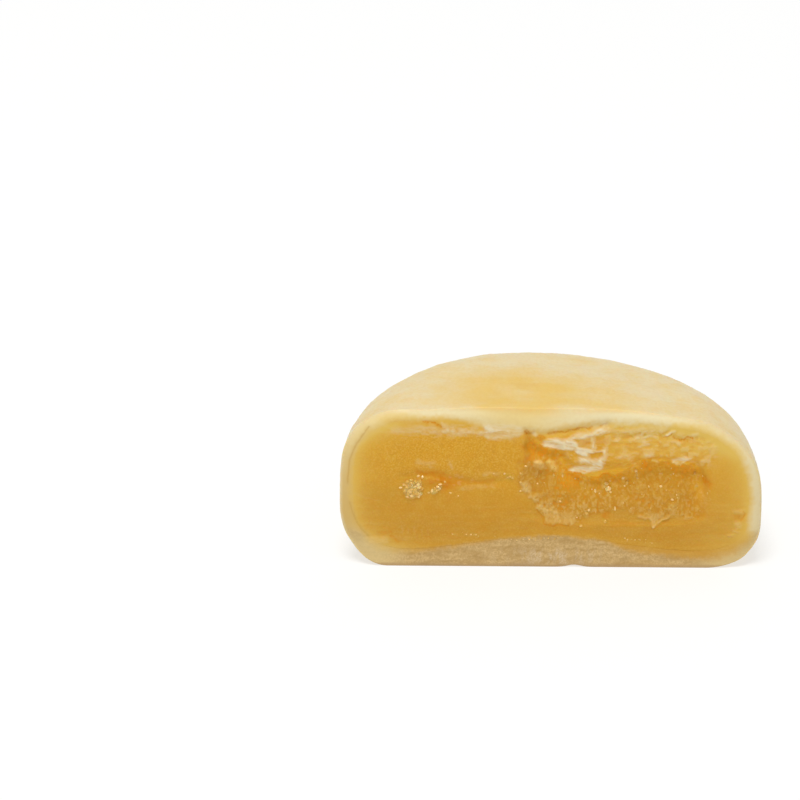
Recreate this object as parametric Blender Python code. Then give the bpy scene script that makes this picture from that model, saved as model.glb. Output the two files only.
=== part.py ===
"""Half of a baked durian pastry, cut through the middle and standing on its flat base.

Two solids: the pale dough skin, which wraps the filling and shows as a band round the cut, and the golden
durian paste, whose cut face is smooth at the left and torn open at the right. The cut faces the front (-Y).
Every size below is in millimetres; the meshes are written in metres.
"""

import bpy
import numpy as np
from mathutils import Vector, noise

METRES = 0.001  # metres in a millimetre

# ---- Driving sizes of the pastry ----
WIDTH = 60.0  # across the cut
HEIGHT = 25.2  # from the base to the middle of the top
DEPTH = 31.4  # from the cut to the back
LEAN = 0.08  # the back lies this share of its depth to the right of the middle of the cut
CENTRE_Z = 12.0  # height of the point that the rings are drawn round
ORIGIN_Y = 15.6  # the origin lies midway between the cut and the back
GAP = 0.3  # clearance between the two solids

# ---- Thickness of the dough ----
SIDE_SKIN = 1.9
BASE_SKIN = 2.5
TOP_SKIN = 1.5
BASE_FOLD_HEIGHT = 2.5  # the gathered fold of the dough thickens the middle of the base
BASE_FOLD_X = -0.5
BASE_FOLD_SPREAD = 13.0
TOP_FOLD_HEIGHT = 1.9  # the dough is thickest in the middle of the top
TOP_FOLD_X = -1.5
TOP_FOLD_SPREAD = 7.0

# ---- Hand shaping ----
SHAPING_SIZE = 14.0  # size of the soft swells in the dough
SHAPING_HEIGHT = 0.4
TOP_PRESS_RADIUS = 16.8  # the round flat that the baking plate presses in the top
TOP_PRESS_DEPTH = 0.7
TOP_PRESS_EDGE = 6.1
CORNER_ROUNDING = 0.05  # softness of the foot's corner, as a share of the radius
NICK_X = 3.5  # a small nick under the cut
NICK_HALF_WIDTH = 1.3
NICK_REACH = 1.5  # how far it runs back from the cut
NICK_HEIGHT = 0.35

# ---- The cut edge of the skin ----
EDGE_SETBACK = 0.7  # how far the knife drags the outer edge of the skin back
EDGE_REACH = 1.1  # how far behind the cut that drag still shows
EDGE_CRISP_HEIGHT = 4.0  # below this height the drag fades out
RIM_STEPS = (0.25, 0.55, 0.8)  # where the rim's rings lie between its outer and inner edge

# ---- Mesh density ----
RING_POINTS = 144  # points round each ring, a multiple of four
SKIN_RINGS = 12
POCKET_RINGS = 6
FACE_RINGS = 18
FIRST_RING = 1.1  # distance of the skin's second ring from the cut
SEARCH_STEPS = 36  # halvings in the search for the surface


class Shell:
    """The size and curvature of one closed surface. A triple holds the right, the back and the left value."""

    def __init__(self, radius, floor, top, waist, foot, low_power, high_power):
        self.radius = radius  # half-width
        self.floor = floor  # height of the flat underside
        self.top = top  # height of the middle of the top, before it is pressed
        self.waist = waist  # height of the widest place
        self.foot = foot  # half-width of the flat underside over the radius
        self.low_power = low_power  # roundness under the waist: 2 is an ellipse, more is squarer
        self.high_power = high_power  # roundness over the waist


OUTSIDE = Shell(
    radius=(WIDTH / 2, DEPTH, WIDTH / 2),
    floor=0.0,
    top=HEIGHT + TOP_PRESS_DEPTH,
    waist=(7.8, 12.0, 9.8),
    foot=(0.817, 0.85, 0.834),
    low_power=(2.95, 2.7, 2.4),
    high_power=(2.85, 2.42, 4.27),
)
POCKET = Shell(
    radius=(WIDTH / 2 - SIDE_SKIN, DEPTH - SIDE_SKIN, WIDTH / 2 - SIDE_SKIN),
    floor=BASE_SKIN,
    top=HEIGHT + TOP_PRESS_DEPTH - TOP_SKIN,
    waist=(9.0, 12.0, 10.4),
    foot=(0.80, 0.84, 0.80),
    low_power=(3.3, 2.9, 2.8),
    high_power=(3.0, 2.62, 4.7),
)

# ---- The cut face of the paste: places as (x, z), sizes and depths in millimetres ----
LIP = [  # lower edge of the overhanging upper paste, from left to right
    (-4.2, 21.4), (-3.0, 20.4), (-1.0, 19.6), (0.6, 19.2), (1.6, 17.3), (2.8, 15.5), (5.6, 15.0), (7.2, 15.2),
    (10.8, 15.7), (12.6, 17.0), (15.0, 17.3), (17.4, 17.0), (20.2, 16.7), (21.6, 14.8), (22.6, 13.4),
]
LIP_STEP = 2.2  # height over which the face falls back under the lip
LIP_ENDS = (1.5, 2.5)  # how gradually the lip begins at its left end and stops at its right end
HOLLOW_DEPTH = 1.7
HOLLOW_FADE = 3.6  # how far below the lip the hollow runs out
LIP_BULGE = 0.3
LIP_BULGE_REACH = 3.0
TORN_AREA = (9.2, 12.0, 13.9, 5.1)  # centre x, centre z, half-width and half-height of the torn paste
TORN_DEPTH = 0.35
TORN_STRAND = (1.9, 3.6)  # width and height of the pulled strands in it
TORN_STRAND_HEIGHT = 0.5
GROOVES = [  # path, half-width, depth
    ([(-21.3, 14.4), (-18.5, 15.0), (-15.8, 14.7), (-11.5, 13.7), (-9.0, 13.4), (-6.4, 14.0)], 0.7, 0.5),
    ([(-3.5, 21.6), (-1.4, 21.4), (2.4, 21.9), (5.4, 22.6), (7.6, 22.9)], 0.6, 0.8),
    ([(9.0, 20.9), (13.0, 21.1), (16.6, 21.4), (17.8, 20.6), (19.9, 20.9)], 0.6, 0.4),
]
FLAKES = [  # path, half-width, height of the fibrous strips that lie on the face
    ([(-1.5, 20.1), (1.0, 20.2), (4.0, 21.1), (7.5, 22.1)], 0.7, 0.35),
    ([(3.4, 19.4), (5.2, 18.8), (7.4, 18.6)], 0.65, 0.35),
    ([(2.6, 15.9), (4.6, 15.9), (7.0, 16.8)], 0.7, 0.35),
    ([(12.8, 8.5), (14.7, 6.8), (16.6, 8.4)], 0.6, 0.45),
    ([(-4.0, 13.2), (-2.7, 11.5), (-1.0, 8.0), (3.4, 7.3)], 0.7, 0.5),
]
LUMPS = [  # centre, half-width, half-height, height (a hollow where negative)
    ((-1.9, 16.5), 1.3, 1.1, 1.2),
    ((0.2, 16.3), 1.0, 1.0, 1.0),
    ((-19.7, 12.6), 1.6, 1.6, -0.6),
    ((-16.1, 12.7), 1.4, 0.9, -0.6),
    ((-3.3, 21.6), 0.8, 0.7, -0.8),
    ((26.6, 7.2), 0.9, 2.0, 0.3),
    ((-24.6, 4.1), 1.8, 1.1, 0.3),
]
PASTE_SWELL_SIZE = 7.0
PASTE_SWELL_HEIGHT = 0.2
CLOSING_LINE = (0.62, 0.05)  # the face's last ring over its edge: width and height
FACE_LIMIT = 0.3  # the relief never stands further out than this


def round_body(values, x, y):
    """One of a shell's triples at each place, going smoothly from the right, round the back, to the left."""
    right, back, left = values
    across = x / np.maximum(np.hypot(x, y), 1e-9)
    return back + (right - left) / 2 * across + ((right + left) / 2 - back) * across**2


def smooth_step(t):
    t = np.clip(t, 0.0, 1.0)
    return t * t * (3 - 2 * t)


def smooth_max(a, b, softness):
    blend = np.maximum(softness - np.abs(a - b), 0.0) / softness
    return np.maximum(a, b) + blend * blend * softness / 4


def level(shell, points):
    """Below 0 inside the shell, 0 on it and above 0 outside, for an array of points."""
    x, y, z = points.T
    waist = round_body(shell.waist, x, y)
    low = round_body(shell.low_power, x, y)
    high = round_body(shell.high_power, x, y)
    foot = round_body(shell.foot, x, y)
    fall = (waist - shell.floor) / (1 - foot**low) ** (1 / low)
    spread = np.hypot(x, y) / round_body(shell.radius, x, y)
    above = (spread**high + (np.maximum(z - waist, 0) / (shell.top - waist)) ** high) ** (1 / high)
    below = (spread**low + (np.maximum(waist - z, 0) / fall) ** low) ** (1 / low)
    sides = np.where(z > waist, above, below) - 1
    underside = (shell.floor - z) / (WIDTH / 2)
    return smooth_max(sides, underside, CORNER_ROUNDING)


def on_shell(shell, directions):
    """Where rays from the body's centre meet the shell, for an array of directions."""
    centre = np.array([0.0, 0.0, CENTRE_Z])
    near = np.full(len(directions), 0.2)
    far = np.full(len(directions), 2.0)
    for _ in range(SEARCH_STEPS):
        middle = (near + far) / 2
        inside = level(shell, centre + directions * middle[:, None]) < 0
        near = np.where(inside, middle, near)
        far = np.where(inside, far, middle)
    return centre + directions * near[:, None]


def lengths_along(points):
    """Distance of each point of an open line from its start, along the line."""
    return np.concatenate([[0.0], np.cumsum(np.linalg.norm(np.diff(points, axis=0), axis=1))])


def evenly(points, count):
    """count points, spaced evenly along an open line of points, without its last one."""
    along = lengths_along(points)
    wanted = np.linspace(0.0, along[-1], count + 1)[:-1]
    return np.stack([np.interp(wanted, along, column) for column in points.T], axis=1)


def cut_outline(shell):
    """The shell's outline in the plane of the cut, from its right round over the top."""
    halves = []
    for start in (0.0, np.pi):
        angle = np.linspace(start, start + np.pi, 361)
        rays = np.stack(
            [np.cos(angle) * WIDTH / 2, np.zeros_like(angle), np.sin(angle) * HEIGHT / 2], axis=1
        )
        halves.append(evenly(on_shell(shell, rays), RING_POINTS // 2))
    return np.concatenate(halves)


def ring_distances(total, count, first):
    """How far behind the cut each ring lies, over the top; first is the second ring's place, or None."""
    if first is None:
        return np.linspace(0.0, total, count + 1)[:-1]
    return np.concatenate([[0.0], np.linspace(first, total, count)[:-1]])


def wall_rings(shell, count, first):
    """The shell's rings from the cut to the back, and the point at the back that closes them."""
    outline = cut_outline(shell)
    tilt = np.linspace(0.0, np.pi / 2, 181)
    over_top = np.stack(
        [np.zeros_like(tilt), np.sin(tilt) * DEPTH, np.cos(tilt) * HEIGHT / 2], axis=1
    )
    along = lengths_along(on_shell(shell, over_top))
    rings = []
    for angle in np.interp(ring_distances(along[-1], count, first), along, tilt):
        rays = outline - np.array([0.0, 0.0, CENTRE_Z])
        rays = rays * np.cos(angle) + np.array([0.0, DEPTH * np.sin(angle), 0.0])
        rings.append(shaped(shell, on_shell(shell, rays)))
    back = shaped(shell, on_shell(shell, np.array([[0.0, DEPTH, 0.0]])))
    return rings, back


def swell(point, size, seed):
    """Soft noise from about -1 to 1 at a place, with swells of the given size."""
    return noise.noise(Vector(point) / size + Vector((seed, -seed, 2 * seed)))


def bump(distance, reach):
    """A soft bump: 1 in its middle, falling away over the reach."""
    return np.exp(-((distance / reach) ** 2))


def shaped(shell, points):
    """Hand shaping: soft swells in plan, the pressed top, the lean, the folds and the nick under the cut."""
    x, y, z = points.T
    swells = np.array([swell(p, SHAPING_SIZE, 3.7) for p in points])
    grow = 1 + SHAPING_HEIGHT * swells * smooth_step((z - shell.floor) / 3) / (WIDTH / 2)
    press = smooth_step((TOP_PRESS_RADIUS + TOP_PRESS_EDGE - np.hypot(x, y)) / TOP_PRESS_EDGE)
    upper = smooth_step((z - CENTRE_Z) / (shell.top - CENTRE_Z))
    lift = -TOP_PRESS_DEPTH * press * upper
    if shell is OUTSIDE:
        nick = bump(x - NICK_X, NICK_HALF_WIDTH) * bump(y, NICK_REACH)
        lift = lift + NICK_HEIGHT * nick * smooth_step(1 - z / 2.0)
    else:
        base_fold = bump(x - BASE_FOLD_X, BASE_FOLD_SPREAD) * bump(y, BASE_FOLD_SPREAD)
        lift = lift + BASE_FOLD_HEIGHT * base_fold * smooth_step(1 - (z - shell.floor) / 7.0)
        top_fold = bump(x - TOP_FOLD_X, TOP_FOLD_SPREAD) * bump(y, TOP_FOLD_SPREAD)
        lift = lift - TOP_FOLD_HEIGHT * top_fold * upper
    return np.stack([x * grow + LEAN * y, y * grow, z + lift], axis=1)


def distance_to(path, x, z):
    """Distance of each place from a line of (x, z) points."""
    nearest = np.full(np.shape(x), np.inf)
    for (x0, z0), (x1, z1) in zip(path, path[1:]):
        run_x, run_z = x1 - x0, z1 - z0
        share = np.clip(((x - x0) * run_x + (z - z0) * run_z) / (run_x**2 + run_z**2), 0, 1)
        nearest = np.minimum(nearest, np.hypot(x - x0 - share * run_x, z - z0 - share * run_z))
    return nearest


def torn(x, z):
    """How fully each place lies in the torn area: 0 outside and 1 well inside."""
    centre_x, centre_z, half_x, half_z = TORN_AREA
    reach = ((x - centre_x) / half_x) ** 4 + ((z - centre_z) / half_z) ** 4
    return smooth_step((1.2 - reach) / 0.8)


def face_relief(x, z):
    """How far the cut face of the paste lies behind the plane of the cut at each place."""
    lip_x, lip_z = zip(*LIP)
    left_end, right_end = LIP_ENDS
    below = np.copysign(distance_to(LIP, x, z), np.interp(x, lip_x, lip_z) - z)
    along = smooth_step((x - lip_x[0]) / left_end) * smooth_step((lip_x[-1] - x) / right_end)
    under = smooth_step(below / LIP_STEP + 0.5)
    hollow = HOLLOW_DEPTH * under * bump(np.maximum(below, 0), HOLLOW_FADE)
    bulge = LIP_BULGE * (1 - under) * bump(np.minimum(below, 0), LIP_BULGE_REACH)
    depth = along * (hollow - bulge)
    strand_width, strand_height = TORN_STRAND
    strands = [swell((a / strand_width, 0.0, b / strand_height), 1.0, 5.3) for a, b in zip(x, z)]
    depth = depth + torn(x, z) * (TORN_DEPTH + TORN_STRAND_HEIGHT * np.array(strands))
    swells = [swell((a, 0.0, b), PASTE_SWELL_SIZE, 9.1) for a, b in zip(x, z)]
    depth = depth - PASTE_SWELL_HEIGHT * np.array(swells)
    for path, half_width, amount in GROOVES:
        depth = depth + amount * bump(distance_to(path, x, z), half_width)
    for path, half_width, amount in FLAKES:
        depth = depth - amount * smooth_step(1.6 - distance_to(path, x, z) / half_width)
    for (centre_x, centre_z), half_x, half_z, amount in LUMPS:
        depth = depth - amount * bump(np.hypot((x - centre_x) / half_x, (z - centre_z) / half_z), 1.0)
    return np.maximum(depth, -FACE_LIMIT)


def face_rings(edge, count):
    """Rings from the edge of the cut face inwards, closing on a short level line."""
    last_width, last_height = CLOSING_LINE
    rings = []
    for share in np.linspace(0.0, 1.0, count + 1)[1:]:
        x = edge[:, 0] * (1 - (1 - last_width) * share)
        z = CENTRE_Z + (edge[:, 2] - CENTRE_Z) * (1 - (1 - last_height) * share)
        rings.append(np.stack([x, face_relief(x, z), z], axis=1))
    return rings


def joined(points, faces, name, material):
    """One object from points in millimetres, with the cut moved to its place before the origin."""
    placed = (points - np.array([0.0, ORIGIN_Y, 0.0])) * METRES
    mesh = bpy.data.meshes.new(name)
    mesh.from_pydata([tuple(map(float, p)) for p in placed], [], faces)
    mesh.validate()
    mesh.shade_smooth()
    mesh.materials.append(material)
    body = bpy.data.objects.new(name, mesh)
    bpy.context.scene.collection.objects.link(body)
    return body


def bridged(rings):
    """The points of all the rings, and quads between each ring and the next."""
    faces = []
    for ring in range(len(rings) - 1):
        for i in range(RING_POINTS):
            a = ring * RING_POINTS + i
            b = ring * RING_POINTS + (i + 1) % RING_POINTS
            faces.append((a, b, b + RING_POINTS, a + RING_POINTS))
    return np.concatenate(rings), faces


def fan(ring_start, tip, outward):
    """Triangles from one ring to a single tip."""
    faces = []
    for i in range(RING_POINTS):
        a, b = ring_start + i, ring_start + (i + 1) % RING_POINTS
        faces.append((a, b, tip) if outward else (b, a, tip))
    return faces


def zipped(ring_start):
    """Faces across the last, flat ring: each point of its upper half joined to the one below it."""
    faces = []
    for i in range(RING_POINTS // 2):
        upper, upper_next = ring_start + i, ring_start + i + 1
        lower = ring_start + (RING_POINTS - i) % RING_POINTS
        lower_next = ring_start + RING_POINTS - i - 1
        corners = [upper, upper_next, lower_next, lower]
        faces.append(tuple(dict.fromkeys(corners)))
    return faces


def material_of(name, colour, roughness):
    material = bpy.data.materials.new(name)
    material.use_nodes = True
    shader = material.node_tree.nodes["Principled BSDF"]
    shader.inputs["Base Color"].default_value = (*colour, 1.0)
    shader.inputs["Roughness"].default_value = roughness
    shader.inputs["Metallic"].default_value = 0.0
    return material


def drawn_in(points):
    """Points moved towards the middle of the body by the clearance."""
    middle = np.array([0.0, 0.0, CENTRE_Z])
    return middle + (points - middle) * (1 - GAP / np.array([WIDTH / 2, DEPTH, HEIGHT / 2]))


def make_filling():
    """The durian paste: its wall inside the skin, then its cut face."""
    wall, back = wall_rings(POCKET, POCKET_RINGS, None)
    wall = [drawn_in(ring) for ring in wall]
    edge = wall[0]
    edge[:, 1] = face_relief(edge[:, 0], edge[:, 2])
    points, faces = bridged(wall[::-1] + face_rings(edge, FACE_RINGS))
    faces += fan(0, len(points), outward=False)
    faces += zipped(len(points) - RING_POINTS)
    points = np.concatenate([points, drawn_in(back)])
    return joined(points, faces, "durian_filling", material_of("durian_paste", (0.62, 0.31, 0.045), 0.45))


def dragged(ring):
    """The ring with its edge by the cut drawn back, as a knife leaves soft dough, save at the crisp base."""
    moved = ring.copy()
    drag = EDGE_SETBACK * np.exp(-ring[:, 1] / EDGE_REACH)
    moved[:, 1] += drag * smooth_step(ring[:, 2] / EDGE_CRISP_HEIGHT)
    return moved


def make_skin():
    """The dough: its outer wall, the rim that the knife left, and the wall of the pocket for the paste."""
    outer, outer_back = wall_rings(OUTSIDE, SKIN_RINGS, FIRST_RING)
    outer = [dragged(ring) for ring in outer]
    inner, inner_back = wall_rings(POCKET, POCKET_RINGS, None)
    rim = []
    for share in RIM_STEPS:
        ring = outer[0] * (1 - share) + inner[0] * share
        ring[:, 1] = outer[0][:, 1] * (1 - smooth_step(share / RIM_STEPS[1])) / 2
        rim.append(ring)
    points, faces = bridged(outer[::-1] + rim + inner)
    faces += fan(0, len(points), outward=False)
    faces += fan(len(points) - RING_POINTS, len(points) + 1, outward=True)
    points = np.concatenate([points, outer_back, inner_back])
    return joined(points, faces, "dough_skin", material_of("baked_dough", (0.80, 0.62, 0.30), 0.5))


def main():
    for leftover in list(bpy.data.objects):
        bpy.data.objects.remove(leftover)
    make_skin()
    make_filling()


main()
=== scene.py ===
"""The looks of half a baked durian pastry: pale dough skin round a golden paste, cut face to the front.

Sizes are in millimetres in the pastry's own frame, where the cut is the plane y = 0 and the body lies
behind it. They turn into the frame's metres when a mesh is made.
"""

from collections import namedtuple
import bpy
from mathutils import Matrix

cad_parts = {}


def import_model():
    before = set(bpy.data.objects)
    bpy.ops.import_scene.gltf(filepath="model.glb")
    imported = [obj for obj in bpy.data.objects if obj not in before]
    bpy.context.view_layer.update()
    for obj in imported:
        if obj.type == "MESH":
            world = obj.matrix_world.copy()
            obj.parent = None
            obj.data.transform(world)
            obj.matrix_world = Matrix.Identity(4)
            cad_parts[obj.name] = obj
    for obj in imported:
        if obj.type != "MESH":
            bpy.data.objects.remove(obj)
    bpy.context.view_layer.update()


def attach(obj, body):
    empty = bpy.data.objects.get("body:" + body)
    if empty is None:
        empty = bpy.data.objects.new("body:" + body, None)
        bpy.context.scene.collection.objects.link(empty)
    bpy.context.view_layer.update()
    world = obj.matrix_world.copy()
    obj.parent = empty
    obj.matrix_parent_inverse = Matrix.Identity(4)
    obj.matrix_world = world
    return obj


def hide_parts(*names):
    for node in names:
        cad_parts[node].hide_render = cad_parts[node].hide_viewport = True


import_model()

from types import SimpleNamespace

import bmesh
import bpy
import numpy as np
from mathutils import Matrix, Vector
from mathutils.geometry import delaunay_2d_cdt

METRES = 0.001  # metres in a millimetre

# ---- The body, as in the frame ----
WIDTH = 60.0
HEIGHT = 25.2
DEPTH = 31.4
LEAN = 0.08
CENTRE_Z = 12.0
ORIGIN_Y = 15.6
SIDE_SKIN = 1.9
BASE_SKIN = 2.5
TOP_SKIN = 1.5
BASE_FOLD_HEIGHT = 2.5
BASE_FOLD_X = -0.5
BASE_FOLD_SPREAD = 13.0
TOP_FOLD_HEIGHT = 1.9
TOP_FOLD_X = -1.5
TOP_FOLD_SPREAD = 7.0
TOP_PRESS_RADIUS = 16.8
TOP_PRESS_DEPTH = 0.7
TOP_PRESS_EDGE = 6.1
CORNER_ROUNDING = 0.05
NICK_X = 3.5
NICK_HALF_WIDTH = 1.3
NICK_REACH = 1.5
NICK_HEIGHT = 0.35

# ---- Mesh density ----
SKIN_POINTS = 900  # points round each ring of the skin
SKIN_RINGS = 70
BAND_RINGS = 24
POCKET_RINGS = 5
PASTE_POINTS = 960
PASTE_OVERLAP = 0.15  # how far the paste reaches into the skin, which hides the gap between the solids
FACE_GAP = 0.008  # how far the paste's face lies behind the skin's
FINE_SPACING = 0.115
PLAIN_SPACING = 0.17
FINE_ZONE = [(-6.5, 23.6), (24.5, 23.2), (24.5, 5.6), (-6.0, 5.6)]
SEARCH_STEPS = 24
RAY_RANGE = (0.2, 2.0)  # where the search along a ray starts, as shares of its length
OUTLINE_STEPS = 1441
TILT_STEPS = 361
POCKET_OUTLINE_POINTS = 160
EDGE_SHARES = (0.0, 0.004, 0.009, 0.015, 0.022, 0.030, 0.040)  # the skin's closer rings near the cut
NEXT_SHARE = 0.052  # where the evenly spaced rings begin
FACE_ROWS = (2.0, 24.5)
FACE_COLUMNS = (-29.0, 29.0)
FACE_MARGIN = 0.12

# ---- Cut edge of the skin ----
EDGE_SETBACK = 0.75
EDGE_REACH = 1.1
EDGE_CRISP_HEIGHT = 4.0
BAND_FALL = 2.4
BAND_RELIEF_START = 0.35

# ---- Relief of the skin and slack of the torn paste ----
# Each wave of the skin is its height, its size, its seed and how many layers of noise it has.
SKIN_WAVES = [(0.10, 5.0, 101, 2), (0.030, 1.1, 103, 2), (0.010, 0.45, 105, 1)]
CREASE_SIZE = (3.4, 3.4, 1.6)
CREASE_WIDTH = 0.14
CREASE_DEPTH = 0.05
CREASE_SPREAD = 9.0
SLACK_START = 0.4
SLACK_LIMIT = 0.9
SLACK_SHARE = 0.25


# A shell is the size and curvature of one closed surface. A triple holds its right, back and left values.
Shell = namedtuple("Shell", "radius floor top waist foot low_power high_power")
OUTSIDE = Shell(
    radius=(WIDTH / 2, DEPTH, WIDTH / 2),
    floor=0.0,
    top=HEIGHT + TOP_PRESS_DEPTH,
    waist=(7.8, 12.0, 9.8),
    foot=(0.817, 0.85, 0.834),
    low_power=(2.95, 2.7, 2.4),
    high_power=(2.85, 2.42, 4.27),
)
POCKET = Shell(
    radius=(WIDTH / 2 - SIDE_SKIN, DEPTH - SIDE_SKIN, WIDTH / 2 - SIDE_SKIN),
    floor=BASE_SKIN,
    top=HEIGHT + TOP_PRESS_DEPTH - TOP_SKIN,
    waist=(9.0, 12.0, 10.4),
    foot=(0.80, 0.84, 0.80),
    low_power=(3.3, 2.9, 2.8),
    high_power=(3.0, 2.62, 4.7),
)

# ---- The form of the paste's cut, as in the frame. Places are (x, z). ----
FORM_LIP = [  # lower edge of the overhanging upper paste
    (-4.2, 21.4), (-3.0, 20.4), (-1.0, 19.6), (0.6, 19.2), (1.6, 17.3), (2.8, 15.5), (5.6, 15.0),
    (7.2, 15.2), (10.8, 15.7), (12.6, 17.0), (15.0, 17.3), (17.4, 17.0), (20.2, 16.7), (21.6, 14.8),
    (22.6, 13.4),
]
LIP_STEP = 2.2  # height over which the face falls back under the lip
LIP_ENDS = (1.5, 2.5)
HOLLOW_DEPTH = 1.7
HOLLOW_FADE = 3.6
LIP_BULGE = 0.2
LIP_BULGE_REACH = 3.0
TORN_AREA = (9.2, 12.0, 13.9, 5.1)  # middle and half-sizes
TORN_DEPTH = 0.28
FORM_GROOVES = [  # path, half-width and depth
    ([(-21.3, 14.4), (-18.5, 15.0), (-15.8, 14.7), (-11.5, 13.7), (-9.0, 13.4), (-6.4, 14.0)], 0.7, 0.5),
    ([(-3.5, 21.6), (-1.4, 21.4), (2.4, 21.9), (5.4, 22.6), (7.6, 22.9)], 0.6, 0.8),
    ([(9.0, 20.9), (13.0, 21.1), (16.6, 21.4), (17.8, 20.6), (19.9, 20.9)], 0.6, 0.4),
]
FORM_LUMPS = [  # middle, half-sizes and height, below 0 for a pit
    ((-1.9, 16.5), 1.3, 1.1, 1.2), ((0.2, 16.3), 1.0, 1.0, 1.0), ((-19.7, 12.6), 1.6, 1.6, -0.3),
    ((-16.1, 12.7), 1.4, 0.9, -0.3), ((-3.3, 21.6), 0.8, 0.7, -0.3),
]
FORM_GROOVE_SHARE = 0.35
FORM_LUMP_SHARE = 0.5
VIEW_SLOPE = 0.506  # how much higher a place shows on the cut for each millimetre that it lies back

# ---- Where the paste's colour ends under the top: place along x, reach and rise ----
TOP_SHORE = [
    (-22.5, 3.0, 0.45), (-17.0, 7.0, 0.45), (-10.5, 2.5, -0.35), (-8.5, 3.0, -0.40), (0.5, 4.0, 0.50),
    (11.0, 4.0, -0.22), (19.0, 4.0, 0.70),
]

# ---- What shows on the cut. Paths and outlines are (x, z) in millimetres. ----
LIP = [  # lower edge of the overhanging paste
    (-4.2, 21.4), (-3.0, 20.4), (-1.0, 19.6), (0.9, 19.3), (1.1, 17.6), (1.7, 16.2), (2.6, 15.5),
    (4.4, 15.0), (5.8, 15.1), (6.6, 14.9), (7.2, 15.2), (9.5, 15.6), (10.8, 15.8), (11.8, 16.4),
    (12.6, 17.0), (13.6, 17.3), (15.0, 17.3), (17.4, 17.0), (18.5, 16.7), (20.2, 16.8), (21.0, 15.9),
    (21.6, 14.7), (22.6, 13.4),
]
TORN = [  # where the paste is torn open
    (-4.6, 16.0), (-4.9, 14.6), (-4.5, 12.4), (-3.2, 11.3), (-2.0, 9.4), (-1.0, 8.0), (-0.9, 7.1),
    (2.4, 6.9), (3.7, 7.3), (5.6, 8.2), (7.0, 8.6), (9.0, 9.1), (12.6, 8.7), (13.9, 8.0), (14.7, 6.5),
    (15.6, 7.4), (16.9, 8.3), (19.5, 8.0), (22.4, 8.1), (22.9, 10.5), (23.0, 13.2), (21.4, 15.6),
    (20.6, 16.8), (13.0, 17.3), (11.8, 16.3), (8.0, 15.3), (4.4, 15.0), (2.0, 15.8), (1.0, 18.9),
    (-1.0, 19.4), (-3.2, 20.6), (-4.0, 19.6), (-3.4, 18.6), (-4.6, 17.4),
]
# Each deep place is its outline, how rich its gold is and how far it lies back.
# The places along and under the lip are painted shade there as well as rich gold.
DEEP_PLACES = [
    ([(-3.7, 21.0), (-2.6, 20.2), (-1.0, 19.3), (0.3, 18.9), (0.4, 18.1), (-0.6, 17.9), (-2.2, 17.6),
      (-3.9, 16.4), (-4.6, 17.0), (-3.3, 18.2), (-4.3, 19.2), (-3.2, 20.2)], 1.0, 0.12),
    ([(1.0, 14.9), (2.4, 15.2), (3.4, 14.9), (4.2, 14.0), (4.0, 12.8), (3.0, 12.2), (1.6, 12.5),
      (0.8, 13.5)], 0.8, 0.16),
    ([(-1.0, 14.9), (0.8, 14.9), (0.8, 13.6), (-1.0, 14.0)], 0.4, 0.05),
    ([(5.4, 14.5), (6.6, 14.7), (7.2, 15.0), (8.4, 15.1), (10.6, 15.6), (11.4, 15.2), (9.8, 14.4),
      (8.4, 14.1), (7.2, 14.3), (7.1, 13.4), (6.0, 13.5)], 0.95, 0.18),
    ([(12.0, 16.4), (13.4, 17.2), (15.2, 17.0), (15.4, 16.0), (14.4, 15.4), (12.6, 14.5), (12.0, 15.2)],
      0.75, 0.08),
    ([(15.6, 17.1), (17.0, 17.1), (18.6, 16.6), (20.6, 16.7), (21.2, 15.6), (20.4, 15.4), (19.2, 15.0),
      (17.6, 15.2), (16.0, 15.9)], 0.9, 0.08),
    ([(21.1, 15.2), (21.8, 14.8), (22.8, 13.5), (22.3, 12.9), (21.5, 13.5)], 0.95, 0.15),
    ([(7.0, 8.8), (7.8, 9.1), (8.5, 8.8), (8.1, 8.2), (7.2, 8.1)], 0.8, 0.2),
    ([(4.1, 20.4), (5.2, 20.5), (5.3, 19.8), (4.2, 19.7)], 0.5, 0.12),
    ([(6.1, 20.9), (7.3, 20.9), (7.5, 20.0), (6.3, 19.8)], 0.45, 0.12),
    ([(5.0, 18.6), (6.2, 18.7), (6.7, 18.2), (5.6, 17.8)], 0.45, 0.1),
    ([(18.3, 20.9), (20.2, 20.9), (20.5, 20.2), (18.5, 20.1)], 0.5, 0.06),
    ([(-19.4, 15.6), (-16.4, 15.7), (-15.6, 15.0), (-17.4, 14.4), (-19.2, 14.8)], 0.5, 0.06),
    ([(-15.8, 13.0), (-14.6, 13.4), (-13.8, 12.6), (-14.6, 11.8), (-15.6, 12.0)], 0.55, 0.08),
    ([(26.1, 8.6), (27.3, 8.7), (27.4, 7.9), (26.3, 7.8)], 0.8, 0.15),
    ([(-23.0, 23.4), (-20.0, 23.5), (-17.0, 23.2), (-15.4, 22.6), (-15.8, 22.3), (-18.0, 22.8),
      (-23.0, 22.9)], 0.3, 0.0),
]
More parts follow.
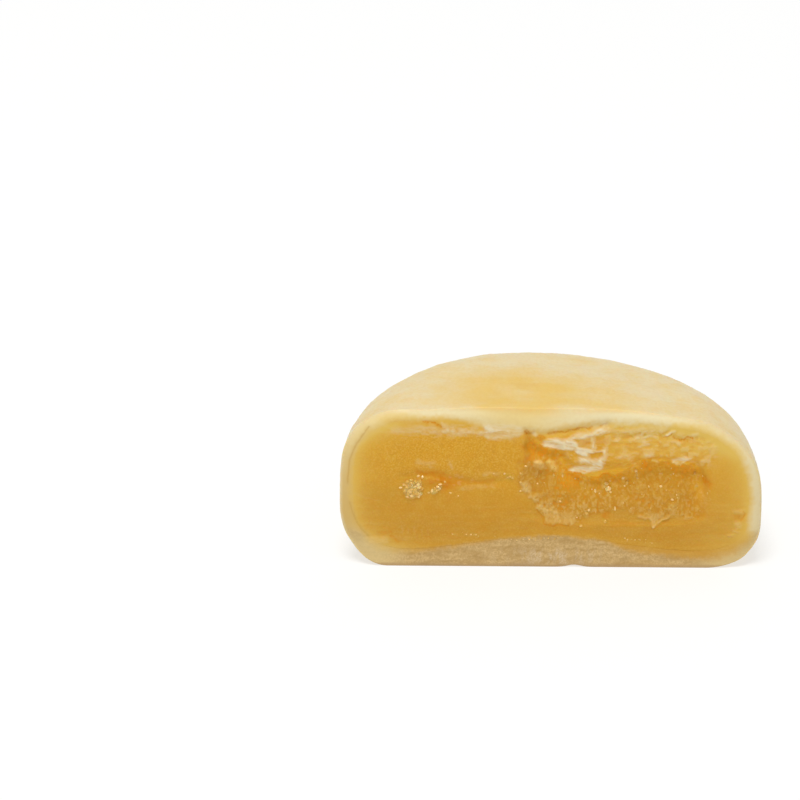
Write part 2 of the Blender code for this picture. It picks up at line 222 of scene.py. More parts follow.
# Each flake or lump is its outline, the slope of its strands in degrees, its height and how pale it is.
FLAKES = [
    ([(-1.7, 20.0), (-1.2, 20.7), (0.3, 20.9), (1.2, 20.7), (3.0, 20.9), (3.4, 20.0), (3.5, 19.2),
      (2.8, 18.8), (1.4, 18.7), (0.2, 19.0), (-1.2, 19.5)], -4, 0.24, 1.0),
    ([(2.2, 20.8), (3.2, 21.5), (5.0, 21.9), (7.8, 22.6), (7.7, 21.9), (6.6, 21.5), (5.4, 21.0),
      (4.0, 20.8)], 12, 0.2, 1.0),
    ([(7.0, 19.4), (7.6, 19.7), (7.8, 18.2), (7.5, 17.4), (6.8, 17.5), (7.2, 18.3)], 80, 0.18, 0.6),
    ([(5.4, 21.0), (6.0, 20.9), (6.0, 19.3), (5.4, 19.2)], 85, 0.12, 0.75),
    ([(3.8, 17.9), (4.6, 18.1), (5.4, 17.7), (6.4, 17.6), (7.0, 18.0), (7.6, 17.4), (7.1, 16.5),
      (6.6, 16.2), (5.2, 16.7), (4.0, 17.0)], -36, 0.14, 0.9),
    ([(3.3, 19.5), (4.4, 19.4), (5.5, 19.0), (4.9, 18.2), (3.9, 18.3), (3.3, 18.8)], -24, 0.14, 0.8),
    ([(2.3, 15.7), (2.9, 16.3), (4.3, 16.5), (5.2, 16.3), (6.4, 16.6), (7.3, 16.6), (7.0, 16.0),
      (5.8, 15.5), (4.4, 15.2), (3.0, 15.4)], -10, 0.2, 0.9),
    ([(17.0, 17.5), (18.2, 17.9), (19.7, 18.0), (19.3, 17.3), (18.6, 16.9), (17.9, 17.0), (17.3, 17.2)], -8,
      0.2, 0.85),
    ([(12.9, 18.6), (14.2, 18.6), (14.3, 17.8), (13.0, 17.8)], -20, 0.1, 0.5),
    ([(-2.9, 16.4), (-2.5, 17.2), (-1.7, 17.3), (-1.0, 16.9), (-0.8, 16.0), (-1.6, 15.7), (-2.6, 15.8)], 86,
      0.34, 0.4),
    ([(-0.7, 16.6), (-0.3, 17.2), (0.3, 17.1), (0.9, 16.4), (0.8, 15.7), (-0.2, 15.6)], 86, 0.3, 0.34),
    ([(-4.4, 13.8), (-3.4, 14.0), (-3.1, 13.2), (-3.2, 12.3), (-4.2, 12.3)], 70, 0.14, 0.6),
    ([(-0.9, 9.2), (0.8, 9.3), (2.0, 8.9), (3.4, 8.9), (3.7, 7.5), (2.4, 7.1), (0.2, 7.1), (-0.9, 7.3)], 88,
      0.1, 0.36),
    ([(13.4, 8.9), (15.9, 8.9), (15.3, 7.8), (14.7, 7.0), (14.1, 8.0)], 80, 0.06, 0.45),
    ([(-21.2, 12.4), (-20.6, 13.6), (-19.8, 14.1), (-18.6, 13.9), (-18.3, 12.8), (-18.6, 11.4),
      (-19.4, 10.9), (-20.6, 11.0)], 60, 0.45, 0.34),
    ([(-17.4, 12.0), (-16.7, 12.8), (-15.8, 13.6), (-15.3, 13.3), (-15.9, 12.4), (-16.6, 11.7)], 45, 0.2,
      0.3),
    ([(-9.9, 23.0), (-9.6, 21.2), (-8.9, 20.4), (-6.0, 20.3), (-5.0, 20.8), (-4.2, 21.3), (-4.0, 22.6),
      (-6.0, 23.0)], -4, 0.05, 0.55),
    ([(-22.8, 22.3), (-20.0, 22.6), (-15.6, 22.4), (-12.0, 22.2), (-9.8, 22.0), (-9.9, 21.2), (-13.0, 21.1),
      (-17.0, 21.3), (-20.5, 21.3), (-22.8, 21.5)], -2, 0.03, 0.26),
    ([(-26.1, 3.4), (-25.8, 4.5), (-25.2, 5.0), (-24.4, 4.8), (-23.3, 4.5), (-23.1, 3.6), (-24.4, 3.2)], 20,
      0.14, 0.55),
    ([(26.0, 7.6), (26.6, 7.7), (27.2, 7.4), (27.0, 6.7), (26.3, 6.4), (26.4, 7.0)], 60, 0.12, 0.6),
    ([(25.7, 9.6), (27.4, 9.5), (27.2, 8.9), (26.0, 8.8)], -5, 0.1, 0.45),
]
# Each mark is a path, its half-width, its height and how pale it is, or how deep its gold is when below 0.
MARKS = [
    # fine strokes of the flakes over the hollow
    ([(3.3, 19.6), (4.2, 19.3), (5.2, 18.9), (6.2, 18.8), (7.2, 18.8)], 0.2, 0.16, 0.8),
    ([(3.5, 18.8), (4.6, 18.4)], 0.2, 0.12, 0.8),
    ([(2.0, 20.3), (3.4, 19.9)], 0.16, 0.1, 0.5),
    # crests of the lumps at the left of the hollow, and pale shreds down the torn edge
    ([(-2.5, 17.1), (-1.6, 17.1)], 0.22, 0.12, 0.6),
    ([(-0.5, 17.0), (0.2, 16.9)], 0.2, 0.12, 0.55),
    ([(-3.1, 12.1), (-2.4, 11.2)], 0.36, 0.12, 0.6),
    ([(-1.9, 10.1), (-1.0, 9.1)], 0.4, 0.12, 0.5),
    ([(-0.9, 9.7), (0.2, 9.5)], 0.4, 0.08, 0.3),
    ([(-2.1, 9.3), (-1.3, 8.3), (-1.0, 7.2), (0.2, 6.9), (2.4, 6.8)], 0.16, -0.14, -0.5),
    ([(12.6, 8.5), (14.0, 8.0), (14.7, 6.6)], 0.24, 0.2, 0.55),
    ([(14.7, 6.6), (15.5, 7.4), (16.7, 8.5)], 0.22, 0.2, 0.6),
    ([(14.3, 6.4), (14.8, 6.2), (15.7, 6.9), (17.0, 8.0)], 0.14, -0.1, -0.35),
    # under and right of the lip
    ([(17.5, 16.9), (18.4, 16.5), (18.8, 16.9)], 0.18, 0.16, 0.55),
    ([(2.1, 15.3), (3.0, 14.9), (4.0, 14.0)], 0.18, -0.2, -0.9),
    ([(5.7, 14.8), (6.6, 14.6), (7.2, 15.0), (8.2, 15.1)], 0.16, -0.2, -0.9),
    ([(13.3, 17.2), (13.3, 16.3)], 0.18, -0.15, -0.8),
    ([(14.2, 17.1), (15.0, 17.0)], 0.14, 0.12, 0.5),
    ([(21.2, 17.0), (22.4, 18.2), (22.8, 19.6)], 0.5, 0.08, 0.25),
    ([(9.6, 18.2), (10.7, 17.9)], 0.45, 0.08, 0.25),
    ([(8.9, 20.9), (9.2, 20.7)], 0.3, 0.1, 0.4),
    ([(11.2, 20.8), (12.7, 21.9)], 0.28, 0.14, 0.5),
    ([(12.6, 20.9), (13.5, 21.3), (14.3, 20.9)], 0.18, 0.12, 0.4),
    ([(12.8, 20.2), (13.6, 20.5)], 0.2, 0.1, 0.4),
    ([(12.2, 19.5), (13.3, 19.9)], 0.24, 0.12, 0.5),
    ([(15.9, 21.5), (17.0, 21.8)], 0.2, 0.18, 0.85),
    ([(19.7, 21.6), (20.3, 21.5)], 0.2, 0.1, 0.4),
    ([(16.9, 20.4), (17.9, 20.2)], 0.3, 0.1, 0.35),
    ([(9.8, 21.9), (12.8, 22.5), (15.8, 22.4)], 0.35, 0.06, 0.25),
    ([(15.3, 21.2), (16.6, 21.4)], 0.14, -0.14, -0.7),
    ([(17.0, 21.1), (17.8, 20.6), (18.7, 21.1), (19.8, 20.9)], 0.15, -0.16, -0.8),
    ([(11.6, 17.9), (12.3, 18.3)], 0.5, -0.05, -0.4),
    ([(10.3, 19.4), (11.3, 20.1)], 0.35, -0.05, -0.3),
    # the crack under the top skin, with a pit at its left end
    ([(-3.6, 21.7), (-3.2, 21.5)], 0.45, -0.4, -1.0),
    ([(-1.9, 21.1), (-1.5, 20.9)], 0.3, -0.2, -0.9),
    ([(-2.6, 21.6), (-2.4, 21.3)], 0.25, 0.1, 0.7),
    ([(-0.6, 21.5), (0.9, 21.9), (2.4, 21.9), (3.6, 22.1)], 0.2, -0.16, -0.9),
    ([(3.4, 22.2), (5.4, 22.6)], 0.12, -0.14, -0.9),
    ([(6.4, 22.7), (7.7, 23.0)], 0.12, -0.12, -0.8),
    # flakes under the top skin, left of the pit
    ([(-9.3, 22.5), (-9.0, 22.0)], 0.4, 0.1, 0.7),
    ([(-8.7, 21.4), (-6.6, 21.3)], 0.2, -0.08, -0.2),
    ([(-8.9, 21.8), (-6.2, 21.7)], 0.26, 0.08, 0.4),
    ([(-15.2, 21.8), (-13.2, 21.9), (-11.2, 21.6), (-9.9, 21.5)], 0.3, 0.08, 0.32),
    ([(-15.4, 22.8), (-14.6, 22.2)], 0.3, 0.1, 0.45),
    ([(-17.9, 23.1), (-16.9, 22.9), (-15.7, 22.5)], 0.18, -0.16, -0.8),
    # the seam across the paste
    ([(-18.6, 15.1), (-16.5, 14.9), (-15.8, 14.7)], 0.42, -0.12, -0.5),
    ([(-15.5, 14.2), (-13.6, 13.9)], 0.55, -0.12, -0.48),
    ([(-12.6, 13.8), (-10.0, 13.6), (-8.2, 13.9)], 0.34, -0.1, -0.42),
    ([(-16.7, 13.5), (-14.4, 12.9)], 0.6, -0.1, -0.45),
    ([(-19.5, 10.9), (-18.3, 10.9)], 0.14, -0.1, -0.5),
    ([(-12.4, 12.6), (-10.0, 12.9), (-8.0, 13.2)], 0.28, 0.05, 0.18),
    ([(-9.6, 14.9), (-7.4, 15.0)], 0.25, 0.05, 0.2),
    ([(-14.4, 16.9), (-14.2, 16.2)], 0.3, 0.05, 0.25),
    ([(-18.8, 16.9), (-17.0, 16.6)], 0.4, 0.04, 0.2),
    # scratches low on the left, and the stroke above the lump of dough there
    ([(-28.0, 11.6), (-26.4, 10.9), (-24.4, 10.7)], 0.12, -0.05, 0.15),
    ([(-21.4, 6.6), (-21.2, 5.9), (-21.3, 5.1)], 0.13, -0.06, 0.2),
    ([(-20.4, 6.2), (-20.6, 5.2)], 0.12, -0.06, 0.18),
    ([(-19.3, 6.4), (-19.6, 5.2)], 0.13, -0.06, 0.22),
    ([(-18.3, 6.0), (-18.2, 5.2)], 0.12, -0.06, 0.18),
    ([(-17.4, 6.0), (-17.2, 5.2)], 0.12, -0.05, 0.14),
    ([(-22.7, 4.9), (-22.2, 4.2), (-21.7, 3.9)], 0.34, -0.06, -0.5),
    ([(-24.6, 5.3), (-22.9, 5.3)], 0.32, -0.04, -0.4),
    ([(-14.0, 5.0), (-13.4, 5.0)], 0.14, 0.08, 0.5),
    # shreds beside the right skin
    ([(25.9, 6.3), (26.6, 6.0)], 0.18, 0.1, 0.45),
    ([(25.4, 5.2), (26.0, 5.4)], 0.18, 0.1, 0.35),
    ([(27.1, 9.2), (27.5, 8.4), (27.1, 7.8)], 0.14, -0.12, -0.5),
]
PARTING = [
    (-25.9, 22.3), (-26.7, 21.1), (-27.6, 19.6), (-28.2, 18.3), (-28.6, 17.0), (-28.8, 15.5), (-28.9, 13.4),
]
PARTING_LOW = [(-28.6, 10.2), (-28.2, 8.5), (-27.6, 6.9), (-26.9, 5.8), (-26.0, 4.9)]

# Each bead is its place on the cut, x and z, its half-width, and its height over its width.
BEADS = [
    (-21.4, 12.7, 0.2, 1.0), (-20.9, 13.2, 0.26, 0.8), (-20.4, 13.7, 0.26, 0.7), (-19.8, 13.9, 0.28, 0.7),
    (-19.3, 13.7, 0.26, 0.9), (-18.9, 13.3, 0.24, 1.2), (-18.6, 13.7, 0.22, 1.5), (-18.9, 14.6, 0.22, 0.8),
    (-18.3, 14.4, 0.2, 1.0), (-19.3, 12.5, 0.26, 1.6), (-19.1, 11.8, 0.26, 1.4), (-20.1, 12.2, 0.34, 1.0),
    (-20.5, 12.9, 0.24, 0.8), (-19.8, 11.5, 0.3, 0.8), (-20.4, 11.3, 0.24, 0.8), (-19.7, 13.1, 0.2, 1.0),
    (-16.9, 12.2, 0.18, 1.4), (-16.5, 12.5, 0.2, 1.5), (-16.1, 12.9, 0.2, 1.2), (-15.8, 13.3, 0.26, 0.6),
    (-15.1, 13.7, 0.16, 1.2), (-16.4, 12.0, 0.18, 1.0), (-17.4, 11.9, 0.16, 1.0), (-14.3, 11.9, 0.16, 0.8),
    (-13.2, 11.4, 0.12, 1.0), (-12.1, 12.6, 0.12, 0.7), (-8.2, 15.0, 0.14, 0.7), (-6.7, 15.0, 0.12, 1.0),
    (-5.9, 14.5, 0.26, 0.9), (-5.5, 14.3, 0.18, 1.3), (-6.2, 14.4, 0.16, 1.0), (-4.4, 15.1, 0.15, 1.2),
    (-4.4, 13.7, 0.14, 1.2), (-3.6, 13.1, 0.24, 1.0), (-3.7, 16.2, 0.16, 1.0), (-4.4, 12.3, 0.14, 1.0),
    (0.3, 14.8, 0.24, 1.0), (1.6, 14.6, 0.17, 1.7), (3.4, 14.2, 0.13, 1.0), (-0.1, 10.0, 0.12, 1.0),
    (1.3, 10.6, 0.16, 0.8), (5.8, 12.6, 0.12, 1.2), (6.3, 12.3, 0.2, 1.7), (7.6, 13.1, 0.18, 1.6),
    (8.0, 13.6, 0.2, 1.4), (8.1, 12.7, 0.34, 1.2), (8.4, 12.2, 0.2, 1.0), (8.3, 14.0, 0.16, 0.7),
    (10.2, 14.4, 0.18, 1.2), (10.7, 13.6, 0.22, 1.9), (10.4, 13.2, 0.14, 1.2), (12.0, 15.5, 0.17, 1.4),
    (12.1, 15.0, 0.14, 1.8), (12.2, 14.4, 0.15, 1.3), (13.1, 11.6, 0.14, 2.0), (15.5, 13.2, 0.22, 0.8),
    (15.6, 15.2, 0.15, 0.8), (17.2, 11.1, 0.26, 0.6), (20.4, 15.2, 0.24, 1.0), (20.7, 13.3, 0.14, 1.8),
    (9.1, 9.6, 0.15, 1.9), (5.4, 9.3, 0.2, 1.0), (5.1, 8.7, 0.25, 1.1), (4.3, 6.7, 0.24, 0.7),
    (7.8, 7.4, 0.22, 1.1), (-10.3, 4.9, 0.1, 1.0), (-12.0, 5.2, 0.11, 1.0), (-7.9, 4.9, 0.1, 1.0),
]
SMALL_BEADS = 60
SMALL_BEAD_RADIUS = (0.05, 0.10)
SMALL_BEAD_AREA = ((-6.0, 24.0), (6.5, 17.0))
# Each crust of beads is its middle, its half-widths across and up, its tilt and its number of beads.
CRUSTS = [
    (-19.6, 12.5, 1.30, 1.50, 0.2, 30), (-16.2, 12.6, 1.15, 0.38, 0.9, 9), (8.0, 13.0, 0.35, 1.1, 0.1, 8),
]
CRUST_BEAD_RADIUS = (0.10, 0.28)
# Each row of grains is its first and last place and how many grains it has.
GRAIN_ROWS = [
    ((-5.2, 4.55), (1.0, 4.75), 15), ((10.4, 4.55), (14.7, 4.40), 11), ((-14.0, 5.3), (-10.0, 5.2), 8),
]
GRAIN_RADIUS = (0.05, 0.12)
GRAIN_SPREAD = 0.20
BEAD_SINK = 0.25  # how far a bead's middle lies in the paste, as a share of its half-width
BEAD_SEED = 7
BEAD_SMOOTHNESS = 3
BEAD_LUMPS = 0.30
BEAD_LUMP_SIZE = 0.9
BEAD_FLATNESS = 0.7
BEAD_STRETCH = (0.9, 1.3)
BEAD_TILT = 0.5

# ---- Base colours, linear ----
DOUGH_TOP = (0.79, 0.68, 0.40)  # cut dough, pale under the top
DOUGH_RICH = (0.775, 0.59, 0.24)  # cut dough, where the golden patch reaches the front edge
# cut dough lower down: browner from baking and darker as painted shade
DOUGH_TOASTED_AND_SHADED = (0.64, 0.424, 0.125)
DOUGH_BASE = (0.65, 0.44, 0.18)  # cut dough at the base, in its pale grains
DOUGH_SPECK = (0.46, 0.28, 0.085)  # and between them
DOUGH_CORNER_PAINTED_LIGHT = (0.70, 0.53, 0.23)  # and at its two rounded corners, lighter as painted light where the body shades them
DOUGH_CHALK = (0.66, 0.50, 0.30)  # dry streaks in the middle of the base
DOUGH_SOLE = (0.46, 0.29, 0.13)  # the browned lowest edge
SKIN_CREAM = (0.745, 0.625, 0.375)
SKIN_GOLD = (0.74, 0.49, 0.115)
SKIN_AMBER = (0.70, 0.42, 0.09)
SKIN_BROWN = (0.50, 0.29, 0.09)
DOUGH_PARTING = (0.52, 0.29, 0.05)
PASTE_GOLD = (0.70, 0.348, 0.019)
# lower paste: painted shade that darkens the cut towards the bottom, and the dark grains of sandy paste
PASTE_LOW_SHADE_AND_GRAIN = (0.575, 0.284, 0.026)
# the richest gold, and in and under the hollow also painted shade
PASTE_DEEP = (0.65, 0.238, 0.004)
TORN_DEEP = (0.55, 0.215, 0.006)
PASTE_TORN = (0.55, 0.260, 0.014)
PASTE_LIGHT = (0.74, 0.49, 0.10)
PASTE_PALE = (0.79, 0.66, 0.41)
PASTE_SHRED = (0.74, 0.50, 0.17)
BEAD_COLOUR = (0.90, 0.60, 0.22)
BEAD_GOLD = (0.66, 0.33, 0.03)
CAVE_PAINTED_LIGHT = (0.98, 1.04, 1.14)  # how the paste's colour is scaled deep in the hollow, as painted light against the shade there
SHADE_PAINTED_LIGHT = (1.40, 1.48, 1.44)  # and right under the lip, as painted light where the lip shades it


# ---- Noise and shaping helpers ----
def smooth_step(t):
    t = np.clip(t, 0.0, 1.0)
    return t * t * (3 - 2 * t)


def past(value, start, reach):
    """0 up to the start, 1 from the reach beyond it, and a soft change between."""
    return smooth_step((value - start) / reach)


def before(value, end, reach):
    """1 up to the reach before the end, 0 from the end on, and a soft change between."""
    return smooth_step((end - value) / reach)


def unit(value):
    return np.clip(value, 0, 1)


def bump(distance, reach):
    return np.exp(-((distance / reach) ** 2))


def plane(x, z):
    """Points in the plane of the cut."""
    return np.stack([x, x * 0, z], axis=1)


def hashed(cells, seed):
    """A repeatable number from 0 to 1 for each row of whole numbers."""
    full = np.uint64(0xFFFFFFFF)
    mixed = np.full(len(cells), (seed * 2654435761) & 0xFFFFFFFF, np.uint64)
    for column, prime in zip(cells.T, (374761393, 668265263, 2246822519)):
        whole = (column.astype(np.int64) & 0xFFFFFFFF).astype(np.uint64)
        mixed = (mixed ^ (whole * np.uint64(prime))) & full
        mixed = ((mixed ^ (mixed >> np.uint64(13))) * np.uint64(1274126177)) & full
        mixed = mixed ^ (mixed >> np.uint64(16))
    return (mixed & np.uint64(0xFFFFFF)).astype(float) / 0xFFFFFF


def lattice_noise(points, seed):
    """Smooth noise from about -1 to 1 on a lattice of unit cells."""
    base = np.floor(points)
    part = points - base
    fade = part * part * part * (part * (part * 6 - 15) + 10)
    total = np.zeros(len(points))
    for corner in np.ndindex(2, 2, 2):
        corner = np.array(corner)
        weight = np.prod(np.where(corner == 1, fade, 1 - fade), axis=1)
        total += weight * (hashed(base + corner, seed) * 2 - 1)
    return total * 1.25


def noise(points, size, seed, octaves=1):
    """Layers of smooth noise with features of the given size: one number, or one for each axis."""
    total = np.zeros(len(points))
    reach = 0.0
    strength = 1.0
    scaled = points / np.asarray(size, float)
    for layer in range(octaves):
        total += strength * lattice_noise(scaled * 2.0**layer + 17.3 * layer, seed + layer)
        reach += strength
        strength *= 0.5
    return total / reach


def cell_noise(points, size, seed):
    """For each place, how far it is from the border of its scattered cell, and the cell's own number."""
    flat = points[:, (0, 2)] / np.asarray(size, float)
    base = np.floor(flat)
    nearest = np.full(len(flat), 9.0)
    second = np.full(len(flat), 9.0)
    owner = np.zeros(len(flat))
    for step in np.ndindex(3, 3):
        cell = base + np.array(step) - 1
        centre = cell + np.stack([hashed(cell, seed), hashed(cell, seed + 1)], axis=1)
        distance = np.linalg.norm(flat - centre, axis=1)
        closer = distance < nearest
        second = np.where(closer, nearest, np.minimum(second, distance))
        owner = np.where(closer, hashed(cell, seed + 2), owner)
        nearest = np.where(closer, distance, nearest)
    return second - nearest, owner


def distance_to(path, x, z):
    nearest = np.full(np.shape(x), np.inf)
    for (x0, z0), (x1, z1) in zip(path, path[1:]):
        run_x, run_z = x1 - x0, z1 - z0
        share = unit(((x - x0) * run_x + (z - z0) * run_z) / (run_x**2 + run_z**2))
        nearest = np.minimum(nearest, np.hypot(x - x0 - share * run_x, z - z0 - share * run_z))
    return nearest


def depth_inside(outline, x, z):
    """Distance from a closed outline of (x, z) points, above 0 inside it and below 0 outside."""
    closed = list(outline) + [outline[0]]
    inside = np.zeros(np.shape(x), bool)
    for (x0, z0), (x1, z1) in zip(closed, closed[1:]):
        if z0 != z1:
            crosses = (z0 > z) != (z1 > z)
            inside ^= crosses & (x < (x1 - x0) * (z - z0) / (z1 - z0) + x0)
    return np.where(inside, 1.0, -1.0) * distance_to(closed, x, z)


# ---- The body's surfaces ----
def round_body(values, x, y):
    right, back, left = values
    across = x / np.maximum(np.hypot(x, y), 1e-9)
    return back + (right - left) / 2 * across + ((right + left) / 2 - back) * across**2


def smooth_max(a, b, softness):
    blend = np.maximum(softness - np.abs(a - b), 0.0) / softness
    return np.maximum(a, b) + blend * blend * softness / 4


def level(shell, points):
    """Below 0 inside the shell, 0 on it and above 0 outside."""
    x, y, z = points.T
    waist = round_body(shell.waist, x, y)
    low = round_body(shell.low_power, x, y)
    high = round_body(shell.high_power, x, y)
    foot = round_body(shell.foot, x, y)
    fall = (waist - shell.floor) / (1 - foot**low) ** (1 / low)
    spread = np.hypot(x, y) / round_body(shell.radius, x, y)
    above = (spread**high + (np.maximum(z - waist, 0) / (shell.top - waist)) ** high) ** (1 / high)
    below = (spread**low + (np.maximum(waist - z, 0) / fall) ** low) ** (1 / low)
    sides = np.where(z > waist, above, below) - 1
    return smooth_max(sides, (shell.floor - z) / (WIDTH / 2), CORNER_ROUNDING)


def on_shell(shell, directions):
    """Where rays from the body's centre meet the shell."""
    centre = np.array([0.0, 0.0, CENTRE_Z])
    near, far = (np.full(len(directions), share) for share in RAY_RANGE)
    for _ in range(SEARCH_STEPS):
        middle = (near + far) / 2
        inside = level(shell, centre + directions * middle[:, None]) < 0
        near = np.where(inside, middle, near)
        far = np.where(inside, far, middle)
    return centre + directions * near[:, None]


def lengths_along(points):
    return np.concatenate([[0.0], np.cumsum(np.linalg.norm(np.diff(points, axis=0), axis=1))])


def evenly(points, count):
    along = lengths_along(points)
    wanted = np.linspace(0.0, along[-1], count + 1)[:-1]
    return np.stack([np.interp(wanted, along, column) for column in points.T], axis=1)


def cut_outline(shell, count):
    """The shell's outline in the plane of the cut, from its right round over the top."""
    halves = []
    for start in (0.0, np.pi):
        angle = np.linspace(start, start + np.pi, OUTLINE_STEPS)
        rays = plane(np.cos(angle) * WIDTH / 2, np.sin(angle) * HEIGHT / 2)
        halves.append(evenly(on_shell(shell, rays), count // 2))
    return np.concatenate(halves)


def shaped(shell, points):
    """The pressed top, the lean, the folds of the dough and the nick under the cut."""
    x, y, z = points.T
    press = smooth_step((TOP_PRESS_RADIUS + TOP_PRESS_EDGE - np.hypot(x, y)) / TOP_PRESS_EDGE)
    upper = smooth_step((z - CENTRE_Z) / (shell.top - CENTRE_Z))
    lift = -TOP_PRESS_DEPTH * press * upper
    if shell is OUTSIDE:
        nick = bump(x - NICK_X, NICK_HALF_WIDTH) * bump(y, NICK_REACH)
        lift += NICK_HEIGHT * nick * smooth_step(1 - z / 2.0)
    else:
        base_fold = bump(x - BASE_FOLD_X, BASE_FOLD_SPREAD) * bump(y, BASE_FOLD_SPREAD)
        lift += BASE_FOLD_HEIGHT * base_fold * smooth_step(1 - (z - shell.floor) / 7.0)
        top_fold = bump(x - TOP_FOLD_X, TOP_FOLD_SPREAD) * bump(y, TOP_FOLD_SPREAD)
        lift -= TOP_FOLD_HEIGHT * top_fold * upper
    return np.stack([x + LEAN * y, y, z + lift], axis=1)


def wall_rings(shell, point_count, shares):
    """Rings at the given shares of the way from the cut over the top to the back, and the point there."""
    outline = cut_outline(shell, point_count)
    tilt = np.linspace(0.0, np.pi / 2, TILT_STEPS)
    over_top = np.stack([tilt * 0, np.sin(tilt) * DEPTH, np.cos(tilt) * HEIGHT / 2], axis=1)
    along = lengths_along(on_shell(shell, over_top))
    rays = outline - np.array([0.0, 0.0, CENTRE_Z])
    rings = []
    for angle in np.interp(np.asarray(shares) * along[-1], along, tilt):
        turned = rays * np.cos(angle) + np.array([0.0, DEPTH * np.sin(angle), 0.0])
        rings.append(shaped(shell, on_shell(shell, turned)))
    back = shaped(shell, on_shell(shell, np.array([[0.0, DEPTH, 0.0]])))
    return rings, back


POCKET_OUTLINE = [tuple(p) for p in shaped(POCKET, cut_outline(POCKET, POCKET_OUTLINE_POINTS))[:, (0, 2)]]


# ---- The form of the cut ----
def form_depth(x, z):
    """How far the paste's cut lies back in the frame's solid, and how much the lip shades it, 0 to 1."""
    lip_x, lip_z = zip(*FORM_LIP)
    below = np.copysign(distance_to(FORM_LIP, x, z), np.interp(x, lip_x, lip_z) - z)
    along = smooth_step((x - lip_x[0]) / LIP_ENDS[0]) * smooth_step((lip_x[-1] - x) / LIP_ENDS[1])
    under = smooth_step(below / LIP_STEP + 0.5)
    hollow = HOLLOW_DEPTH * under * bump(np.maximum(below, 0), HOLLOW_FADE)
    bulge = LIP_BULGE * (1 - under) * bump(np.minimum(below, 0), LIP_BULGE_REACH)
    middle_x, middle_z, half_x, half_z = TORN_AREA
    reach = ((x - middle_x) / half_x) ** 4 + ((z - middle_z) / half_z) ** 4
    depth = along * (hollow - bulge) + TORN_DEPTH * before(reach, 1.2, 0.8)
    for path, half_width, amount in FORM_GROOVES:
        depth += FORM_GROOVE_SHARE * amount * bump(distance_to(path, x, z), half_width)
    for (lump_x, lump_z), half_x, half_z, amount in FORM_LUMPS:
        spread = np.hypot((x - lump_x) / half_x, (z - lump_z) / half_z)
        depth -= FORM_LUMP_SHARE * amount * bump(spread, 1.0)
    return depth, along * bump(below - 1.5, 1.4) * smooth_step(depth)


# ---- What shows on the cut ----
def cut_places(points):
    """Where each place shows on the cut, with the noise and the soft zones that its looks share.

    near and far are the place moved a little and moved more, for ragged edges.
    """
    form, shade = form_depth(points[:, 0], points[:, 2])
    x, z = points[:, 0], points[:, 2] + VIEW_SLOPE * form
    flat = plane(x, z)
    coarse_x, coarse_z = noise(flat, 1.3, 11, 2), noise(flat, 1.3, 14, 2)
    fine_x, fine_z = noise(flat, 0.42, 17, 2), noise(flat, 0.42, 20, 2)
    return SimpleNamespace(
        form=form,
        shade=shade,
        x=x,
        z=z,
        flat=flat,
        coarse_x=coarse_x,
        coarse_z=coarse_z,
        fine_x=fine_x,
        fine_z=fine_z,
        near_x=x + 0.20 * coarse_x + 0.08 * fine_x,
        near_z=z + 0.20 * coarse_z + 0.08 * fine_z,
        far_x=x + 0.55 * coarse_x + 0.10 * fine_x,
        far_z=z + 0.55 * coarse_z + 0.10 * fine_z,
        flaky=noise(flat, (2.2, 1.0, 1.2), 26, 3),
        grit=noise(flat, (0.45, 1.0, 0.40), 24, 2),
        breakup=noise(flat, (0.9, 1.0, 0.6), 23, 2),
        upright=noise(flat + 0.25 * coarse_x[:, None], (0.20, 1.0, 1.4), 53, 2),
        inside=depth_inside(POCKET_OUTLINE, x, z),
        front=smooth_step(-points[:, 1] + 1.0),
        top=past(z, 18.0, 4.0),
        foot=before(z, 7.0, 4.5),
        left=before(x, -17, 7),
        right=past(x, 17, 7),
    )


def paste_share(cut):
    """How much of each place is paste: 0 in the dough and 1 in the filling."""
    x, z = cut.x, cut.z
    low_right = past(x, 7, 6) * before(z, 7, 3)
    low_left = before(x, -12, 5) * before(z, 6, 2)
    low_middle = bump(x - 5.0, 5.0) * before(z, 7, 2)
    dip = bump(x - 1.0, 8.0) * cut.top
    edge = cut.inside + (0.26 + 0.34 * dip) * cut.flaky + (0.16 + 0.20 * dip) * cut.fine_z
    edge = edge + 1.08 * low_right + 0.30 * low_left
    edge = edge - 0.2 * low_middle + 0.45 * cut.left * past(z, 7, 4) * before(z, 21.5, 4)
    edge += cut.right * (0.3 + 0.4 * bump(z - 20.0, 3.0))
    for place, reach, rise in TOP_SHORE:
        edge += rise * cut.top * bump(x - place, reach)
    blend = 0.60 + 0.8 * cut.top + 1.1 * cut.left + 0.9 * cut.right + 0.7 * cut.foot + 1.0 * dip
    return smooth_step(edge / blend + 0.5)


